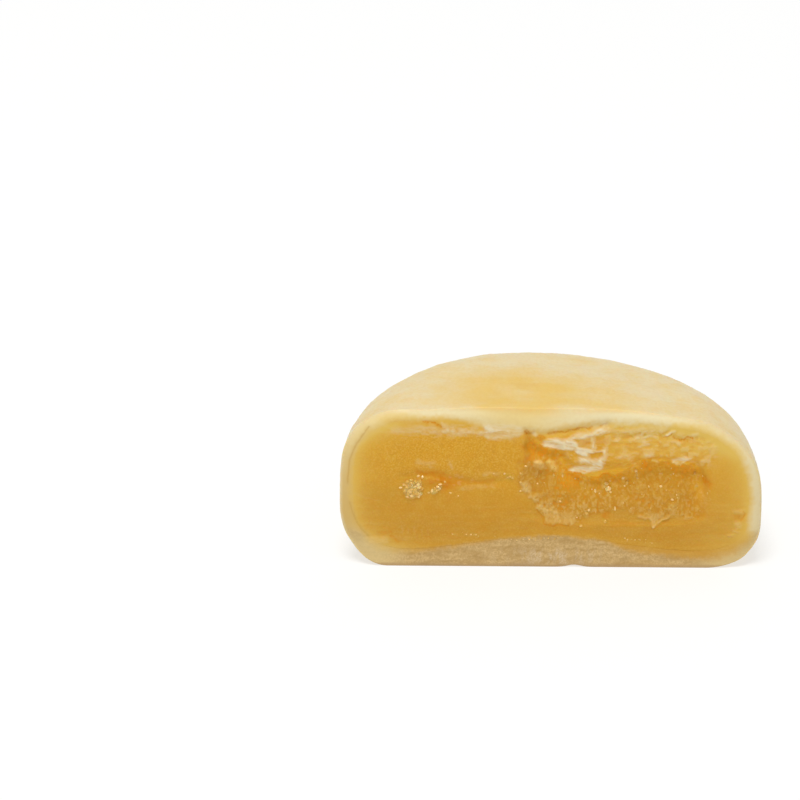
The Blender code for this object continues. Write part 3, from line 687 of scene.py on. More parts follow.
def tear(cut):
    """Shares of each place: the hollow under the lip, torn paste, its brink at the lip, and rough paste."""
    x, z = cut.x, cut.z
    lip_x, lip_z = zip(*LIP)
    ragged_x = x + 0.32 * cut.coarse_x + 0.24 * cut.fine_x
    ragged_z = z + 0.75 * cut.coarse_z + 0.60 * cut.fine_z + 0.40 * cut.flaky
    below = np.copysign(distance_to(LIP, ragged_x, ragged_z), np.interp(ragged_x, lip_x, lip_z) - ragged_z)
    along = smooth_step((x - lip_x[0] + 1.4 + 0.8 * cut.coarse_z) / 3.4)
    along *= smooth_step((lip_x[-1] + 0.4 - x) / 3.4)
    tuck = 0.35 + 0.65 * unit(bump(x + 1.2, 2.8) + bump(x - 3.4, 1.6) + 0.3 * bump(x - 16.5, 4.5))
    tuck *= np.clip(0.75 + 0.7 * noise(cut.flat, 2.1, 48), 0.2, 1)
    reach = 0.60 + 1.8 * bump(x - 0.9, 1.5) * bump(z - 18.0, 2.0)
    under = smooth_step((below + 0.5 * cut.grit) / reach + 0.5)
    lower = np.maximum(below, 0)
    hollow = along * tuck * under * (0.35 * bump(lower, 0.8) + 0.65 * bump(lower, 2.0))
    torn = smooth_step(depth_inside(TORN, cut.far_x, cut.far_z) / 1.2 + 0.4) * before(x, 23.4, 3.6)
    torn *= unit(1 - 0.85 * along * (1 - under))
    rough = past(x, 0.5, 2.5) * before(x, 24.0, 3.0) * past(z, 15.5, 1.5)
    rough = rough * past(cut.inside, 0.2, 0.8) * (1 - torn)
    return hollow, torn, along * torn * bump(below, 3.5), rough


def paste_relief(cut):
    """The paste's height, and how pale and how deep a gold it is, before the listed places."""
    x, z, flat, torn, rough = cut.x, cut.z, cut.flat, cut.torn, cut.rough
    fibres = noise(flat + 0.4 * cut.coarse_x[:, None], (0.26, 1.0, 1.1), 41, 3)
    swells = noise(flat + 0.6 * cut.coarse_z[:, None], (2.4, 1.0, 1.8), 44, 2)
    dots = noise(flat + 0.2 * cut.coarse_x[:, None], (0.30, 1.0, 0.44), 47, 3)
    crags = noise(flat + 0.25 * cut.coarse_z[:, None], (0.85, 1.0, 0.50), 46, 3)
    flecks = noise(plane(cut.near_x, cut.near_z + 0.05 * x), (1.0, 1.0, 0.34), 57, 2)
    gap, owner = cell_noise(plane(cut.far_x, cut.far_z), (0.95, 0.90), 51)
    lumps = smooth_step(gap / 0.85) * (0.25 + 0.75 * owner)
    knife = noise(plane(x, z - 0.03 * x + 0.12 * cut.coarse_x), (5.0, 1.0, 0.50), 71, 2)
    knife = knife * cut.smooth * before(z, 13.5, 4.0)
    quiet = 1 - 0.25 * past(x, 8.5, 2.5)

    height = 0.12 * noise(flat, 8.0, 31) + 0.05 * noise(flat, 2.6, 32) - 0.12 * cut.hollow
    height += torn * (0.05 + 0.11 * swells + 0.040 * fibres + 0.05 * (lumps - 0.3) + 0.04 * cut.fine_x)
    height = height + rough * 0.07 * crags + 0.010 * knife
    height = height + 0.012 * noise(flat, 0.36, 81, 2) * cut.soak + 0.04 * torn * quiet * dots

    shreds = torn * (0.70 + 0.55 * before(z, 12.5, 3.0))
    pale = shreds * 0.16 * past(lumps, 0.40, 0.5) * past(swells, -0.3, 0.8)
    pale += shreds * 0.16 * past(cut.fine_x * 0.6 + fibres * 0.6, 0.10, 0.5)
    pale += 0.18 * rough * past(crags, 0.06, 0.36)
    pale = pale + 0.26 * shreds * quiet * past(dots, 0.10, 0.32) + 0.07 * np.maximum(knife, 0)
    pale += 0.36 * bump(x + 13.0, 8.0) * bump(z - 21.7, 1.1) * past(flecks, 0.02, 0.6)
    pale += 0.22 * bump(x + 14.8, 3.2) * bump(z - 13.6, 1.3) * past(cut.grit, 0.15, 0.3)

    deep = torn * (0.20 * before(lumps, 0.30, 0.35) + 0.22 * past(-swells, 0.05, 0.5))
    # Painted shade: the brink at the lip and the hollow under it take the deep gold.
    deep = deep + torn * 0.20 * past(-fibres, 0.10, 0.5) + 0.25 * cut.brink
    deep = np.maximum(deep, cut.hollow * (0.95 + 0.6 * cut.grit)) + 0.26 * rough * past(-crags, 0.06, 0.34)
    deep = deep + torn * quiet * 0.36 * past(-dots, 0.06, 0.32) + 0.16 * np.maximum(-knife, 0)
    deep += 0.60 * bump(x + 16.6, 4.4) * bump(z - 13.5, 1.4) * np.clip(0.75 + 1.8 * cut.grit, 0, 1.6)
    return height, pale, deep


def sink_deep_places(cut, height, pale, deep):
    """Adds the places of richest gold to the height and the looks."""
    for outline, richness, recess in DEEP_PLACES:
        weight = smooth_step(depth_inside(outline, cut.near_x, cut.near_z) / 1.1 + 0.48)
        height -= 0.7 * recess * weight * (1 + 0.25 * cut.upright)
        deep = np.maximum(deep, richness * weight * (0.80 + 0.35 * cut.upright + 0.40 * cut.grit))
        pale *= 1 - 0.85 * weight * richness
    return height, pale, deep


def raise_flakes(cut, height, pale, deep):
    """Adds the flakes and lumps, with their strands."""
    for outline, slope, rise, paleness in FLAKES:
        weight = smooth_step(depth_inside(outline, cut.near_x, cut.near_z) / 0.70 + 0.4)
        near = weight > 0
        turn = np.radians(slope)
        lengthwise = np.cos(turn) * cut.x[near] + np.sin(turn) * cut.z[near]
        crosswise = np.cos(turn) * cut.z[near] - np.sin(turn) * cut.x[near] + 0.12 * cut.coarse_x[near]
        strands = noise(plane(lengthwise, crosswise), (0.9, 1.0, 0.19), 28, 2)
        weight = weight[near]
        height[near] += 0.62 * rise * weight * (0.9 + 0.30 * strands)
        pale[near] = pale[near] * (1 - weight * paleness)
        pale[near] += paleness * weight * (0.86 + 0.46 * strands + 0.26 * cut.fine_z[near])
        deep[near] *= 1 - 0.8 * weight * min(1.0, 1.6 * paleness)
    return height, pale, deep


def draw_marks(cut, height, pale, deep):
    """Adds the fine strokes, raised or sunk."""
    spot_x = cut.near_x + 0.2 * (cut.near_x - cut.x)
    spot_z = cut.near_z + 0.2 * (cut.near_z - cut.z)
    for path, half_width, rise, tone in MARKS:
        paleness, depth = max(tone, 0.0), max(-tone, 0.0)
        distance = distance_to(path, spot_x, spot_z) / half_width
        frayed = 0.9 * cut.grit * (half_width > 0.25) + 0.35 * cut.breakup
        weight = bump(np.maximum(distance + frayed - 0.15, 0), 0.85)
        height += (0.6 if rise > 0 else 0.4) * rise * weight * (1 + 0.4 * cut.fine_x)
        pale *= 1 - weight * min(1.0, 2 * depth)
        pale += 0.85 * paleness * weight * (0.85 + 0.35 * cut.fine_z)
        deep = deep * (1 - weight * min(1.0, 2 * paleness)) + 0.8 * depth * weight
    return height, pale, deep


def parting_line(cut):
    """The thin dark partings of the skin."""
    line = np.zeros(len(cut.x))
    for path, strength in ((PARTING, 1.0), (PARTING_LOW, 0.80)):
        distance = distance_to(path, cut.x + 0.08 * cut.coarse_x, cut.z + 0.1 * cut.fine_x)
        line = np.maximum(line, strength * (0.65 * bump(distance, 0.12) + 0.25 * bump(distance, 0.40)))
    return 0.62 * line * smooth_step(cut.breakup * 1.2 + 1.3)


def edge_light(cut, depth_in):
    """Where the paste is lighter: along its left, right and top edges, and at the upper right."""
    left_rim = cut.left * np.exp(-depth_in / 1.7)
    right_rim = cut.right * np.exp(-depth_in / 2.4) * past(cut.z, 1, 6)
    top_rim = cut.top * np.exp(-depth_in / 1.3)
    upper = past(cut.x, 6.0, 4.0) * past(cut.z, 16.5, 3.0) * 0.5
    return unit(0.8 * left_rim + 0.8 * right_rim + 0.7 * top_rim + upper) * (1 - cut.torn)


def cut_look(points):
    """The cut's height towards the front at each place, and what shows there as values from 0 to 1.

    soak is 0 in the dough and 1 in the paste. pale marks dry flakes and deep the richest gold, which in and
    under the hollow is also painted shade. wet is how moist the torn paste is, toast how baked the dough
    is, with painted shade that darkens it lower down, and line the thin dark partings of the skin. cave is
    how far the hollow lies back, and shade is where the lip keeps the light off it; both scale the paste's
    colour as painted light against that shade. light, high, inner, torn and sandy vary the paste, high also
    as painted shade towards the bottom, and rich, streak, chalk, sole, foot and corner the dough, corner as
    painted light on the shaded lower corners.
    """
    cut = cut_places(points)
    cut.soak = paste_share(cut)
    cut.hollow, cut.torn, cut.brink, cut.rough = tear(cut)
    cut.smooth = (1 - cut.torn) * cut.soak
    height, pale, deep = paste_relief(cut)
    for add in (sink_deep_places, raise_flakes, draw_marks):
        height, pale, deep = add(cut, height, pale, deep)

    x, z, flat, coarse_x = cut.x, cut.z, cut.flat, cut.coarse_x
    dough = 1 - cut.soak
    line = parting_line(cut)
    layers = noise(plane(x, z + 0.16 * coarse_x), (2.6, 1.0, 0.40), 91, 3)
    crumb = noise(flat, 0.34, 95, 3)
    height -= 0.05 * line
    height += dough * (0.014 * layers * cut.foot + 0.022 * crumb * cut.foot + 0.03 * cut.coarse_z)
    brushed = noise(flat + 0.2 * coarse_x[:, None], (0.40, 1.0, 1.5), 97, 2)
    stain = bump(x + 4.0, 2.2) * bump(z - 0.5, 0.5) + bump(x - NICK_X, 1.2) * bump(z - 0.7, 0.5)
    depth_in = np.maximum(cut.inside, 0)
    looks = dict(
        soak=cut.soak,
        pale=pale,
        # painted light: less deep gold where the lip shades the paste
        deep=deep * (1 - 0.15 * cut.shade),
        wet=cut.torn + cut.hollow + 0.6 * cut.rough,
        # darker dough lower down: partly baking, partly painted shade
        toast_and_shade=(1 - past(z, 9.0, 15.0)) * (1 - 0.8 * cut.right),
        line=line,
        light=edge_light(cut, depth_in),
        streak=0.5 + 0.48 * layers + 0.40 * crumb + 0.12 * coarse_x,
        chalk=bump(x - 0.5, 6.5) * before(z, 3.6, 1.4) * past(brushed, -0.25, 0.6) * dough,
        sole=(0.75 * smooth_step((0.62 + 0.10 * coarse_x - z) / 0.45) + 0.35 * stain) * cut.front,
        # high darkens the lower paste as painted shade, and picks the colour of pale flakes low on the cut
        high=past(z, 3.0, 18.0),
        foot=before(z, 6.4, 1.4),
        # painted light: lighter dough at the shaded lower corners
        corner=past(np.abs(x), 19.0, 6.0) * before(z, 8.0, 5.0),
        inner=past(depth_in, 0.1, 1.8),
        torn=cut.torn,
        rich=bump(x + 5.2, 6.4) * cut.top + 0.7 * cut.left,
        sandy=unit(0.4 + bump(x + 15.0, 10.0) * bump(z - 17.5, 4.0)) * cut.smooth,
        cave=cut.form / 2.0,
        shade=cut.shade,
    )
    return height - cut.form, {key: unit(values) for key, values in looks.items()}


# ---- Meshes ----
def add_object(name, data):
    body = bpy.data.objects.new(name, data)
    bpy.context.scene.collection.objects.link(body)
    return body


def mesh_object(name, points, faces, looks, crisp=(0, 0)):
    """One smooth object from points in millimetres, with named values at its points.

    The edges between points from the first to before the last of crisp stay sharp.
    """
    placed = (points - np.array([0.0, ORIGIN_Y, 0.0])) * METRES
    mesh = bpy.data.meshes.new(name)
    mesh.vertices.add(len(placed))
    mesh.vertices.foreach_set("co", placed.astype(np.float32).ravel())
    sizes = np.concatenate([np.full(len(group), group.shape[1]) for group in faces])
    corners = np.concatenate([group.ravel() for group in faces])
    mesh.loops.add(len(corners))
    mesh.loops.foreach_set("vertex_index", corners.astype(np.int32))
    mesh.polygons.add(len(sizes))
    mesh.polygons.foreach_set("loop_start", (np.cumsum(sizes) - sizes).astype(np.int32))
    mesh.update(calc_edges=True)
    mesh.validate()
    mesh.shade_smooth()
    ends = np.empty(len(mesh.edges) * 2, np.int32)
    mesh.edges.foreach_get("vertices", ends)
    sharp = np.all((ends.reshape(-1, 2) >= crisp[0]) & (ends.reshape(-1, 2) < crisp[1]), axis=1)
    mesh.attributes.new("sharp_edge", "BOOLEAN", "EDGE").data.foreach_set("value", sharp)
    for key, values in looks.items():
        mesh.attributes.new(key, "FLOAT", "POINT").data.foreach_set("value", values.astype(np.float32))
    return add_object(name, mesh)


def ring_faces(ring_count, point_count):
    """Quads between each ring and the next."""
    ring = np.arange(ring_count - 1)[:, None] * point_count
    here = np.arange(point_count)[None, :]
    after = (here + 1) % point_count
    start, end = ring + here, ring + after
    quads = np.stack([start, end, end + point_count, start + point_count], axis=2)
    return quads.reshape(-1, 4)


def fan(ring_start, point_count, tip, outward):
    """Triangles from a ring to one point."""
    here = ring_start + np.arange(point_count)
    after = ring_start + (np.arange(point_count) + 1) % point_count
    order = [here, after] if outward else [after, here]
    return np.stack(order + [here * 0 + tip], axis=1)


def grid_normals(rings):
    """Outward normals of a stack of rings."""
    stack = np.stack(rings)
    around = np.roll(stack, -1, axis=1) - np.roll(stack, 1, axis=1)
    backwards = np.gradient(stack, axis=0)
    normal = np.cross(around, backwards)
    return normal / np.maximum(np.linalg.norm(normal, axis=2, keepdims=True), 1e-9)


def make_skin():
    far_shares = np.linspace(NEXT_SHARE, 1.0, SKIN_RINGS - len(EDGE_SHARES) + 1)[:-1]
    shares = np.concatenate([EDGE_SHARES, far_shares])
    smooth, outer_back = wall_rings(OUTSIDE, SKIN_POINTS, shares)
    outer = []
    for ring, normal in zip(smooth, grid_normals(smooth)):
        y, z = ring[:, 1], ring[:, 2]
        amount = sum(height * noise(ring, size, seed, layers) for height, size, seed, layers in SKIN_WAVES)
        creases = smooth_step(1 - np.abs(noise(ring, CREASE_SIZE, 107, 2)) / CREASE_WIDTH)
        creases = CREASE_DEPTH * creases * smooth_step(noise(ring, CREASE_SPREAD, 109) * 2)
        amount = (amount - creases * smooth_step(y / 3 - 0.3)) * smooth_step(z / 1.2)
        moved = ring + normal * amount[:, None]
        moved[:, 1] += EDGE_SETBACK * np.exp(-y / EDGE_REACH) * smooth_step(z / EDGE_CRISP_HEIGHT)
        outer.append(moved)
    inner, inner_back = wall_rings(POCKET, SKIN_POINTS, np.linspace(0.0, 1.0, POCKET_RINGS + 1)[:-1])
    edge = inner[0].copy()
    height, _ = cut_look(edge)
    inner[0][:, 1] = -height
    band = []
    band_shares = np.linspace(0.0, 1.0, BAND_RINGS + 2)[1:-1]
    for share in band_shares:
        ring = outer[0] * (1 - share) + edge * share
        height, _ = cut_look(ring)
        relief = height * smooth_step(share / BAND_RELIEF_START)
        ring[:, 1] = outer[0][:, 1] * (1 - share) ** BAND_FALL - relief
        band.append(ring)
    rings = outer[::-1] + band + inner
    points = np.concatenate(rings + [outer_back, inner_back])
    tip = len(points) - 2
    faces = [
        ring_faces(len(rings), SKIN_POINTS),
        fan(0, SKIN_POINTS, tip, False),
        fan((len(rings) - 1) * SKIN_POINTS, SKIN_POINTS, tip + 1, True),
    ]
    _, looks = cut_look(points)
    outer_count = len(outer) * SKIN_POINTS
    on_band = np.zeros(len(points))
    on_band[outer_count - SKIN_POINTS : outer_count] = 0.12 + 0.8 * smooth_step(1 - outer[0][:, 2] / 2.0)
    for index, (share, ring) in enumerate(zip(band_shares, band)):
        start = outer_count + index * SKIN_POINTS
        turn = 0.03 + 0.25 * smooth_step(ring[:, 2] / 5.0)
        turn += 0.25 * bump(ring[:, 0] - 1.0, 9.0) * (ring[:, 2] > CENTRE_Z)
        on_band[start : start + SKIN_POINTS] = 0.12 + 0.88 * smooth_step(share / turn)
    rim = outer_count + len(band) * SKIN_POINTS
    on_band[rim : len(points) - 2] = 1.0
    x, y, z = points.T
    flat = np.hypot(x - LEAN * y + 3.0, y)
    shallow = past(z, 20.0, 3.5)
    wander = 1.6 * noise(points, 6.0, 111, 2)
    pressed = smooth_step((TOP_PRESS_RADIUS + 1.6 + wander - flat) / 10.0) * shallow
    cream = bump(y, 3.5) * before(x, -9.0, 4.0) + 0.8 * bump(y, 2.0) * bump(x - 3.0, 3.5)
    pressed *= unit(1 - cream)
    spots = noise(points, (6.0, 2.4, 4.0), 121, 3)
    looks["band"] = on_band
    looks["golden"] = unit(pressed * (0.85 + 0.45 * spots))
    looks["spots"] = pressed * past(noise(points, 2.6, 125, 2), 0.30, 0.35)
    looks["low"] = before(z, 11.0, 11.0)
    looks["under"] = before(z, 1.0, 1.0) * past(y, 0.4, 0.5)
    looks["line"] = looks["line"] * on_band
    return mesh_object("baked_skin", points, faces, looks, (rim, rim + SKIN_POINTS))


def make_paste():
    wall, back = wall_rings(POCKET, PASTE_POINTS, np.linspace(0.0, 1.0, POCKET_RINGS + 1)[:-1])
    middle = np.array([0.0, 0.0, CENTRE_Z])
    rays = wall[0] - middle
    edge = (middle + rays * (1 + PASTE_OVERLAP / np.linalg.norm(rays, axis=1, keepdims=True)))[:, (0, 2)]
    spots = [edge]
    outline = [tuple(p) for p in edge[::4]]
    for spacing, fine in ((FINE_SPACING, True), (PLAIN_SPACING, False)):
        rows = np.arange(*FACE_ROWS, spacing * np.sqrt(3) / 2)
        columns = np.arange(*FACE_COLUMNS, spacing)
        grid_x, grid_z = np.meshgrid(columns, rows)
        grid_x += (np.arange(len(rows)) % 2)[:, None] * spacing / 2
        x, z = grid_x.ravel(), grid_z.ravel()
        wanted = (depth_inside(FINE_ZONE, x, z) > 0) == fine
        x, z = x[wanted], z[wanted]
        kept = depth_inside(outline, x, z) > FACE_MARGIN
        spots.append(np.stack([x[kept], z[kept]], axis=1))
    flat = np.concatenate(spots)
    corners = [Vector(p) for p in flat]
    found = delaunay_2d_cdt(corners, [], [list(range(PASTE_POINTS))], 1, 1e-7)
    places = np.array([tuple(p) for p in found[0]])
    triangles = np.array([tuple(f) for f in found[2] if len(f) == 3])
    assert len(places) == len(flat) and np.allclose(places, flat, atol=1e-4)
    x, z = flat.T
    face = plane(x, z)
    height, looks = cut_look(face)
    face[:, 1] = FACE_GAP - height
    slack = np.clip(height + SLACK_START, 0, SLACK_LIMIT) * looks["wet"]
    face[:, 2] -= SLACK_SHARE * slack
    behind = [middle + (ring - middle) * (1 + PASTE_OVERLAP / (WIDTH / 2)) for ring in wall[1:]]
    points = np.concatenate([face] + behind + [back])
    first = np.arange(PASTE_POINTS)
    after = (first + 1) % PASTE_POINTS
    start = len(face)
    faces = [
        triangles,
        np.stack([first, first + start, after + start, after], axis=1),
        ring_faces(len(behind), PASTE_POINTS)[:, ::-1] + start,
        fan(start + (len(behind) - 1) * PASTE_POINTS, PASTE_POINTS, len(points) - 1, True)[:, ::-1],
    ]
    hidden = np.zeros(len(points) - len(face))
    looks = {key: np.concatenate([values, hidden]) for key, values in looks.items()}
    looks["soak"][len(face) :] = 1.0
    return mesh_object("paste_filling", points, faces, looks)


def make_beads():
    """Moist beads of sugar that stand in the seam and the torn paste."""
    chance = np.random.default_rng(BEAD_SEED)
    places = list(BEADS)
    while len(places) < len(BEADS) + SMALL_BEADS:
        x, z = (chance.uniform(*span) for span in SMALL_BEAD_AREA)
        if depth_inside(TORN, np.array([x]), np.array([z]))[0] > 0.3:
            places.append((x, z, chance.uniform(*SMALL_BEAD_RADIUS), chance.uniform(0.8, 2.2)))
    for x, z, wide, high, tilt, count in CRUSTS:
        for turn, share in chance.uniform(0.0, 1.0, (count, 2)) * (2 * np.pi, 1.0):
            across = np.cos(turn) * wide * np.sqrt(share)
            upwards = np.sin(turn) * high * np.sqrt(share)
            spot_x = x + across * np.cos(tilt) - upwards * np.sin(tilt)
            spot_z = z + upwards * np.cos(tilt) + across * np.sin(tilt)
            places.append((spot_x, spot_z, chance.uniform(*CRUST_BEAD_RADIUS), chance.uniform(0.6, 1.5)))
    for start, end, count in GRAIN_ROWS:
        for x, z in zip(np.linspace(start[0], end[0], count), np.linspace(start[1], end[1], count)):
            x, z = np.array([x, z]) + chance.normal(0.0, GRAIN_SPREAD, 2)
            places.append((x, z, chance.uniform(*GRAIN_RADIUS), chance.uniform(0.7, 1.3)))
    places = np.array(places)
    spots = plane(places[:, 0], places[:, 1])
    for _ in range(SEARCH_STEPS):
        spots[:, 2] = places[:, 1] - VIEW_SLOPE * form_depth(spots[:, 0], spots[:, 2])[0]
    height, _ = cut_look(spots)
    ball = bmesh.new()
    bmesh.ops.create_icosphere(ball, subdivisions=BEAD_SMOOTHNESS, radius=1.0)
    shape = np.array([v.co[:] for v in ball.verts])
    corners = np.array([[v.index for v in f.verts] for f in ball.faces])
    ball.free()
    points, faces, tones = [], [], []
    for index, (spot, radius, tall, rise) in enumerate(zip(spots, places[:, 2], places[:, 3], height)):
        body = shape * (1 + BEAD_LUMPS * noise(shape + index * 7.7, BEAD_LUMP_SIZE, 131, 2))[:, None]
        body = body * np.array([1.0, BEAD_FLATNESS, tall]) * chance.uniform(*BEAD_STRETCH, 3) * radius
        tilt = chance.uniform(-BEAD_TILT, BEAD_TILT)
        across = body[:, 0] * np.cos(tilt) + body[:, 2] * np.sin(tilt)
        upwards = body[:, 2] * np.cos(tilt) - body[:, 0] * np.sin(tilt)
        body = np.stack([across, body[:, 1], upwards], axis=1)
        centre = spot + np.array([0.0, FACE_GAP - rise + BEAD_SINK * radius, 0.0])
        faces.append(corners + index * len(shape))
        points.append(body + centre)
        tones.append(np.full(len(shape), chance.uniform()))
    looks = {"tone": np.concatenate(tones)}
    return mesh_object("paste_beads", np.concatenate(points), [np.concatenate(faces)], looks)


# ---- Materials ----
class Graph:
    """A material's nodes, with short ways to add and link them."""

    def __init__(self, name):
        self.material = bpy.data.materials.new(name)
        self.material.use_nodes = True
        self.tree = self.material.node_tree
        self.shader = self.tree.nodes["Principled BSDF"]

    def feed(self, socket, value):
        if isinstance(value, bpy.types.NodeSocket):
            self.tree.links.new(value, socket)
        elif socket.type == "RGBA" and len(value) == 3:
            socket.default_value = (*value, 1.0)
        else:
            socket.default_value = value

    def look(self, name, share=None):
        """The values kept at the mesh's points under this name, times the share if there is one."""
        node = self.tree.nodes.new("ShaderNodeAttribute")
        node.attribute_name = name
        values = node.outputs["Fac"]
        return values if share is None else self.maths("MULTIPLY", values, share)

    def speckle(self, size, detail=3.0, stretch=(1, 1, 1)):
        """Noise with features of the given size in millimetres."""
        place = self.tree.nodes.new("ShaderNodeTexCoord").outputs["Object"]
        mapping = self.tree.nodes.new("ShaderNodeMapping")
        self.feed(mapping.inputs["Vector"], place)
        mapping.inputs["Scale"].default_value = stretch
        texture = self.tree.nodes.new("ShaderNodeTexNoise")
        self.feed(texture.inputs["Vector"], mapping.outputs[0])
        texture.inputs["Scale"].default_value = 1 / (size * METRES)
        texture.inputs["Detail"].default_value = detail
        return texture.outputs["Fac"]

    def ramp(self, value, low, high, to_low=0.0, to_high=1.0):
        node = self.tree.nodes.new("ShaderNodeMapRange")
        node.interpolation_type = "SMOOTHSTEP"
        self.feed(node.inputs[0], value)
        for index, number in zip((1, 2, 3, 4), (low, high, to_low, to_high)):
            node.inputs[index].default_value = number
        return node.outputs[0]

    def maths(self, operation, a, b):
        node = self.tree.nodes.new("ShaderNodeMath")
        node.operation = operation
        self.feed(node.inputs[0], a)
        self.feed(node.inputs[1], b)
        return node.outputs[0]

    def mix(self, share, a, b, blend="MIX"):
        node = self.tree.nodes.new("ShaderNodeMix")
        node.data_type = "RGBA"
        node.blend_type = blend
        for index, value in zip((0, 6, 7), (share, a, b)):
            self.feed(node.inputs[index], value)
        return node.outputs[2]

    def bumped(self, height, distance, strength=1.0):
        node = self.tree.nodes.new("ShaderNodeBump")
        self.feed(node.inputs["Height"], height)
        node.inputs["Distance"].default_value = distance * METRES
        node.inputs["Strength"].default_value = strength
        return node.outputs[0]

    def finish(self, **inputs):
        for key, value in inputs.items():
            self.feed(self.shader.inputs[key.replace("_", " ")], value)
        return self.material


def cut_colour(g, mottle, fine):
    """The colour of the cut, from the values kept at its points."""
    grain = g.ramp(fine, 0.30, 0.70, 0.0, 1.0)
    sand = g.speckle(0.24, 2.0)
    # Painted shade: the paste darkens towards the bottom of the cut.
    paste = g.mix(g.look("high"), PASTE_LOW_SHADE_AND_GRAIN, PASTE_GOLD)
    paste = g.mix(g.ramp(mottle, 0.40, 0.75, 0.0, 0.15), paste, PASTE_LIGHT)
    paste = g.mix(g.maths("MULTIPLY", grain, 0.12), paste, PASTE_LIGHT)
    paste = g.mix(g.look("sandy", g.ramp(sand, 0.50, 0.66, 0.0, 0.45)), paste, PASTE_LIGHT)
    paste = g.mix(g.look("sandy", g.ramp(sand, 0.50, 0.34, 0.0, 0.50)), paste, PASTE_LOW_SHADE_AND_GRAIN)
    paste = g.mix(g.look("torn", 0.8), paste, PASTE_TORN)
    paste = g.mix(g.look("torn", g.ramp(sand, 0.48, 0.66, 0.0, 0.30)), paste, PASTE_LIGHT)
    paste = g.mix(g.look("light"), paste, PASTE_LIGHT)
    rich = g.mix(g.look("torn", g.ramp(g.look("deep"), 0.85, 0.45)), PASTE_DEEP, TORN_DEEP)
    paste = g.mix(g.look("deep", g.ramp(sand, 0.38, 0.62, 0.60, 1.30)), paste, rich)
    dough = g.mix(g.look("rich"), DOUGH_TOP, DOUGH_RICH)
    # Painted shade with baking: the dough is darker lower down.
    dough = g.mix(g.look("toast_and_shade"), dough, DOUGH_TOASTED_AND_SHADED)
    crumb = g.look("streak", g.ramp(sand, 0.36, 0.62, 0.45, 1.35))
    base = g.mix(crumb, DOUGH_SPECK, DOUGH_BASE)
    base = g.mix(g.look("chalk", g.ramp(sand, 0.40, 0.62, 0.25, 0.85)), base, DOUGH_CHALK)
    dough = g.mix(g.look("foot"), dough, base)
    dough = g.mix(g.maths("MULTIPLY", grain, 0.10), dough, DOUGH_BASE)
    # Painted light on the lower corners, where the body shades them.
    dough = g.mix(g.look("corner", 0.75), dough, DOUGH_CORNER_PAINTED_LIGHT)
    dough = g.mix(g.look("sole"), dough, DOUGH_SOLE)
    colour = g.mix(g.look("soak"), dough, paste)
    shred = g.maths("MAXIMUM", g.look("torn"), g.ramp(g.look("high"), 0.80, 0.30))
    colour = g.mix(g.look("pale"), colour, g.mix(shred, PASTE_PALE, PASTE_SHRED))
    colour = g.mix(g.look("line"), colour, DOUGH_PARTING)
    # Painted light: the colour deep in the hollow and right under the lip is scaled to offset their shade.
    colour = g.mix(g.look("cave"), colour, CAVE_PAINTED_LIGHT, "MULTIPLY")
    return g.mix(g.look("shade"), colour, SHADE_PAINTED_LIGHT, "MULTIPLY")


def skin_material():
    g = Graph("skin_finish")
    mottle = g.speckle(3.2, 4.0)
    fine = g.speckle(0.45, 4.0)
    outside = g.mix(g.ramp(mottle, 0.32, 0.72, 0.06, 0.42), SKIN_CREAM, SKIN_GOLD)
    outside = g.mix(g.ramp(fine, 0.35, 0.70, 0.0, 0.12), outside, SKIN_AMBER)
    outside = g.mix(g.ramp(g.speckle(1.1, 3.0, (0.22, 1, 1)), 0.45, 0.70, 0.0, 0.30), outside, SKIN_CREAM)
    outside = g.mix(g.look("low", g.ramp(mottle, 0.35, 0.65, 0.15, 0.50)), outside, SKIN_GOLD)
    outside = g.mix(g.look("golden", 0.9), outside, SKIN_GOLD)
    outside = g.mix(g.look("spots", 0.30), outside, SKIN_AMBER)
    bottom = g.look("under", g.ramp(mottle, 0.30, 0.70, 0.25, 0.85))
    outside = g.mix(bottom, outside, SKIN_BROWN)
    colour = g.mix(g.look("band"), outside, cut_colour(g, mottle, fine))
    return g.finish(
        Base_Color=colour,
        Roughness=g.ramp(fine, 0.3, 0.7, 0.42, 0.58),
        Normal=g.bumped(fine, 0.05, 0.5),
        Subsurface_Weight=g.ramp(g.look("band"), 0.0, 0.9, 0.5, 0.0),
        Subsurface_Radius=(1.0, 0.62, 0.28),
        Subsurface_Scale=1.0 * METRES,
        Specular_IOR_Level=0.3,
    )


def paste_material():
    g = Graph("paste_finish")
    mottle = g.speckle(2.2, 4.0)
    fine = g.speckle(0.35, 4.0)
    soft = g.ramp(g.look("inner"), 0.0, 1.0, 0.0, 0.55)
    soft = g.maths("MULTIPLY", soft, g.ramp(g.look("wet"), 0.0, 1.0, 1.0, 0.40))
    return g.finish(
        Base_Color=cut_colour(g, mottle, fine),
        Roughness=g.ramp(fine, 0.3, 0.7, 0.45, 0.60),
        Normal=g.bumped(fine, 0.06, 0.6),
        Subsurface_Weight=g.maths("MULTIPLY", soft, g.ramp(g.look("pale"), 0.1, 0.8, 1.0, 0.35)),
        Subsurface_Radius=(1.0, 0.45, 0.10),
        Subsurface_Scale=1.0 * METRES,
        Specular_IOR_Level=0.12,
        Coat_Weight=g.ramp(g.look("wet"), 0.0, 1.0, 0.0, 0.14),
        Coat_Roughness=0.10,
    )


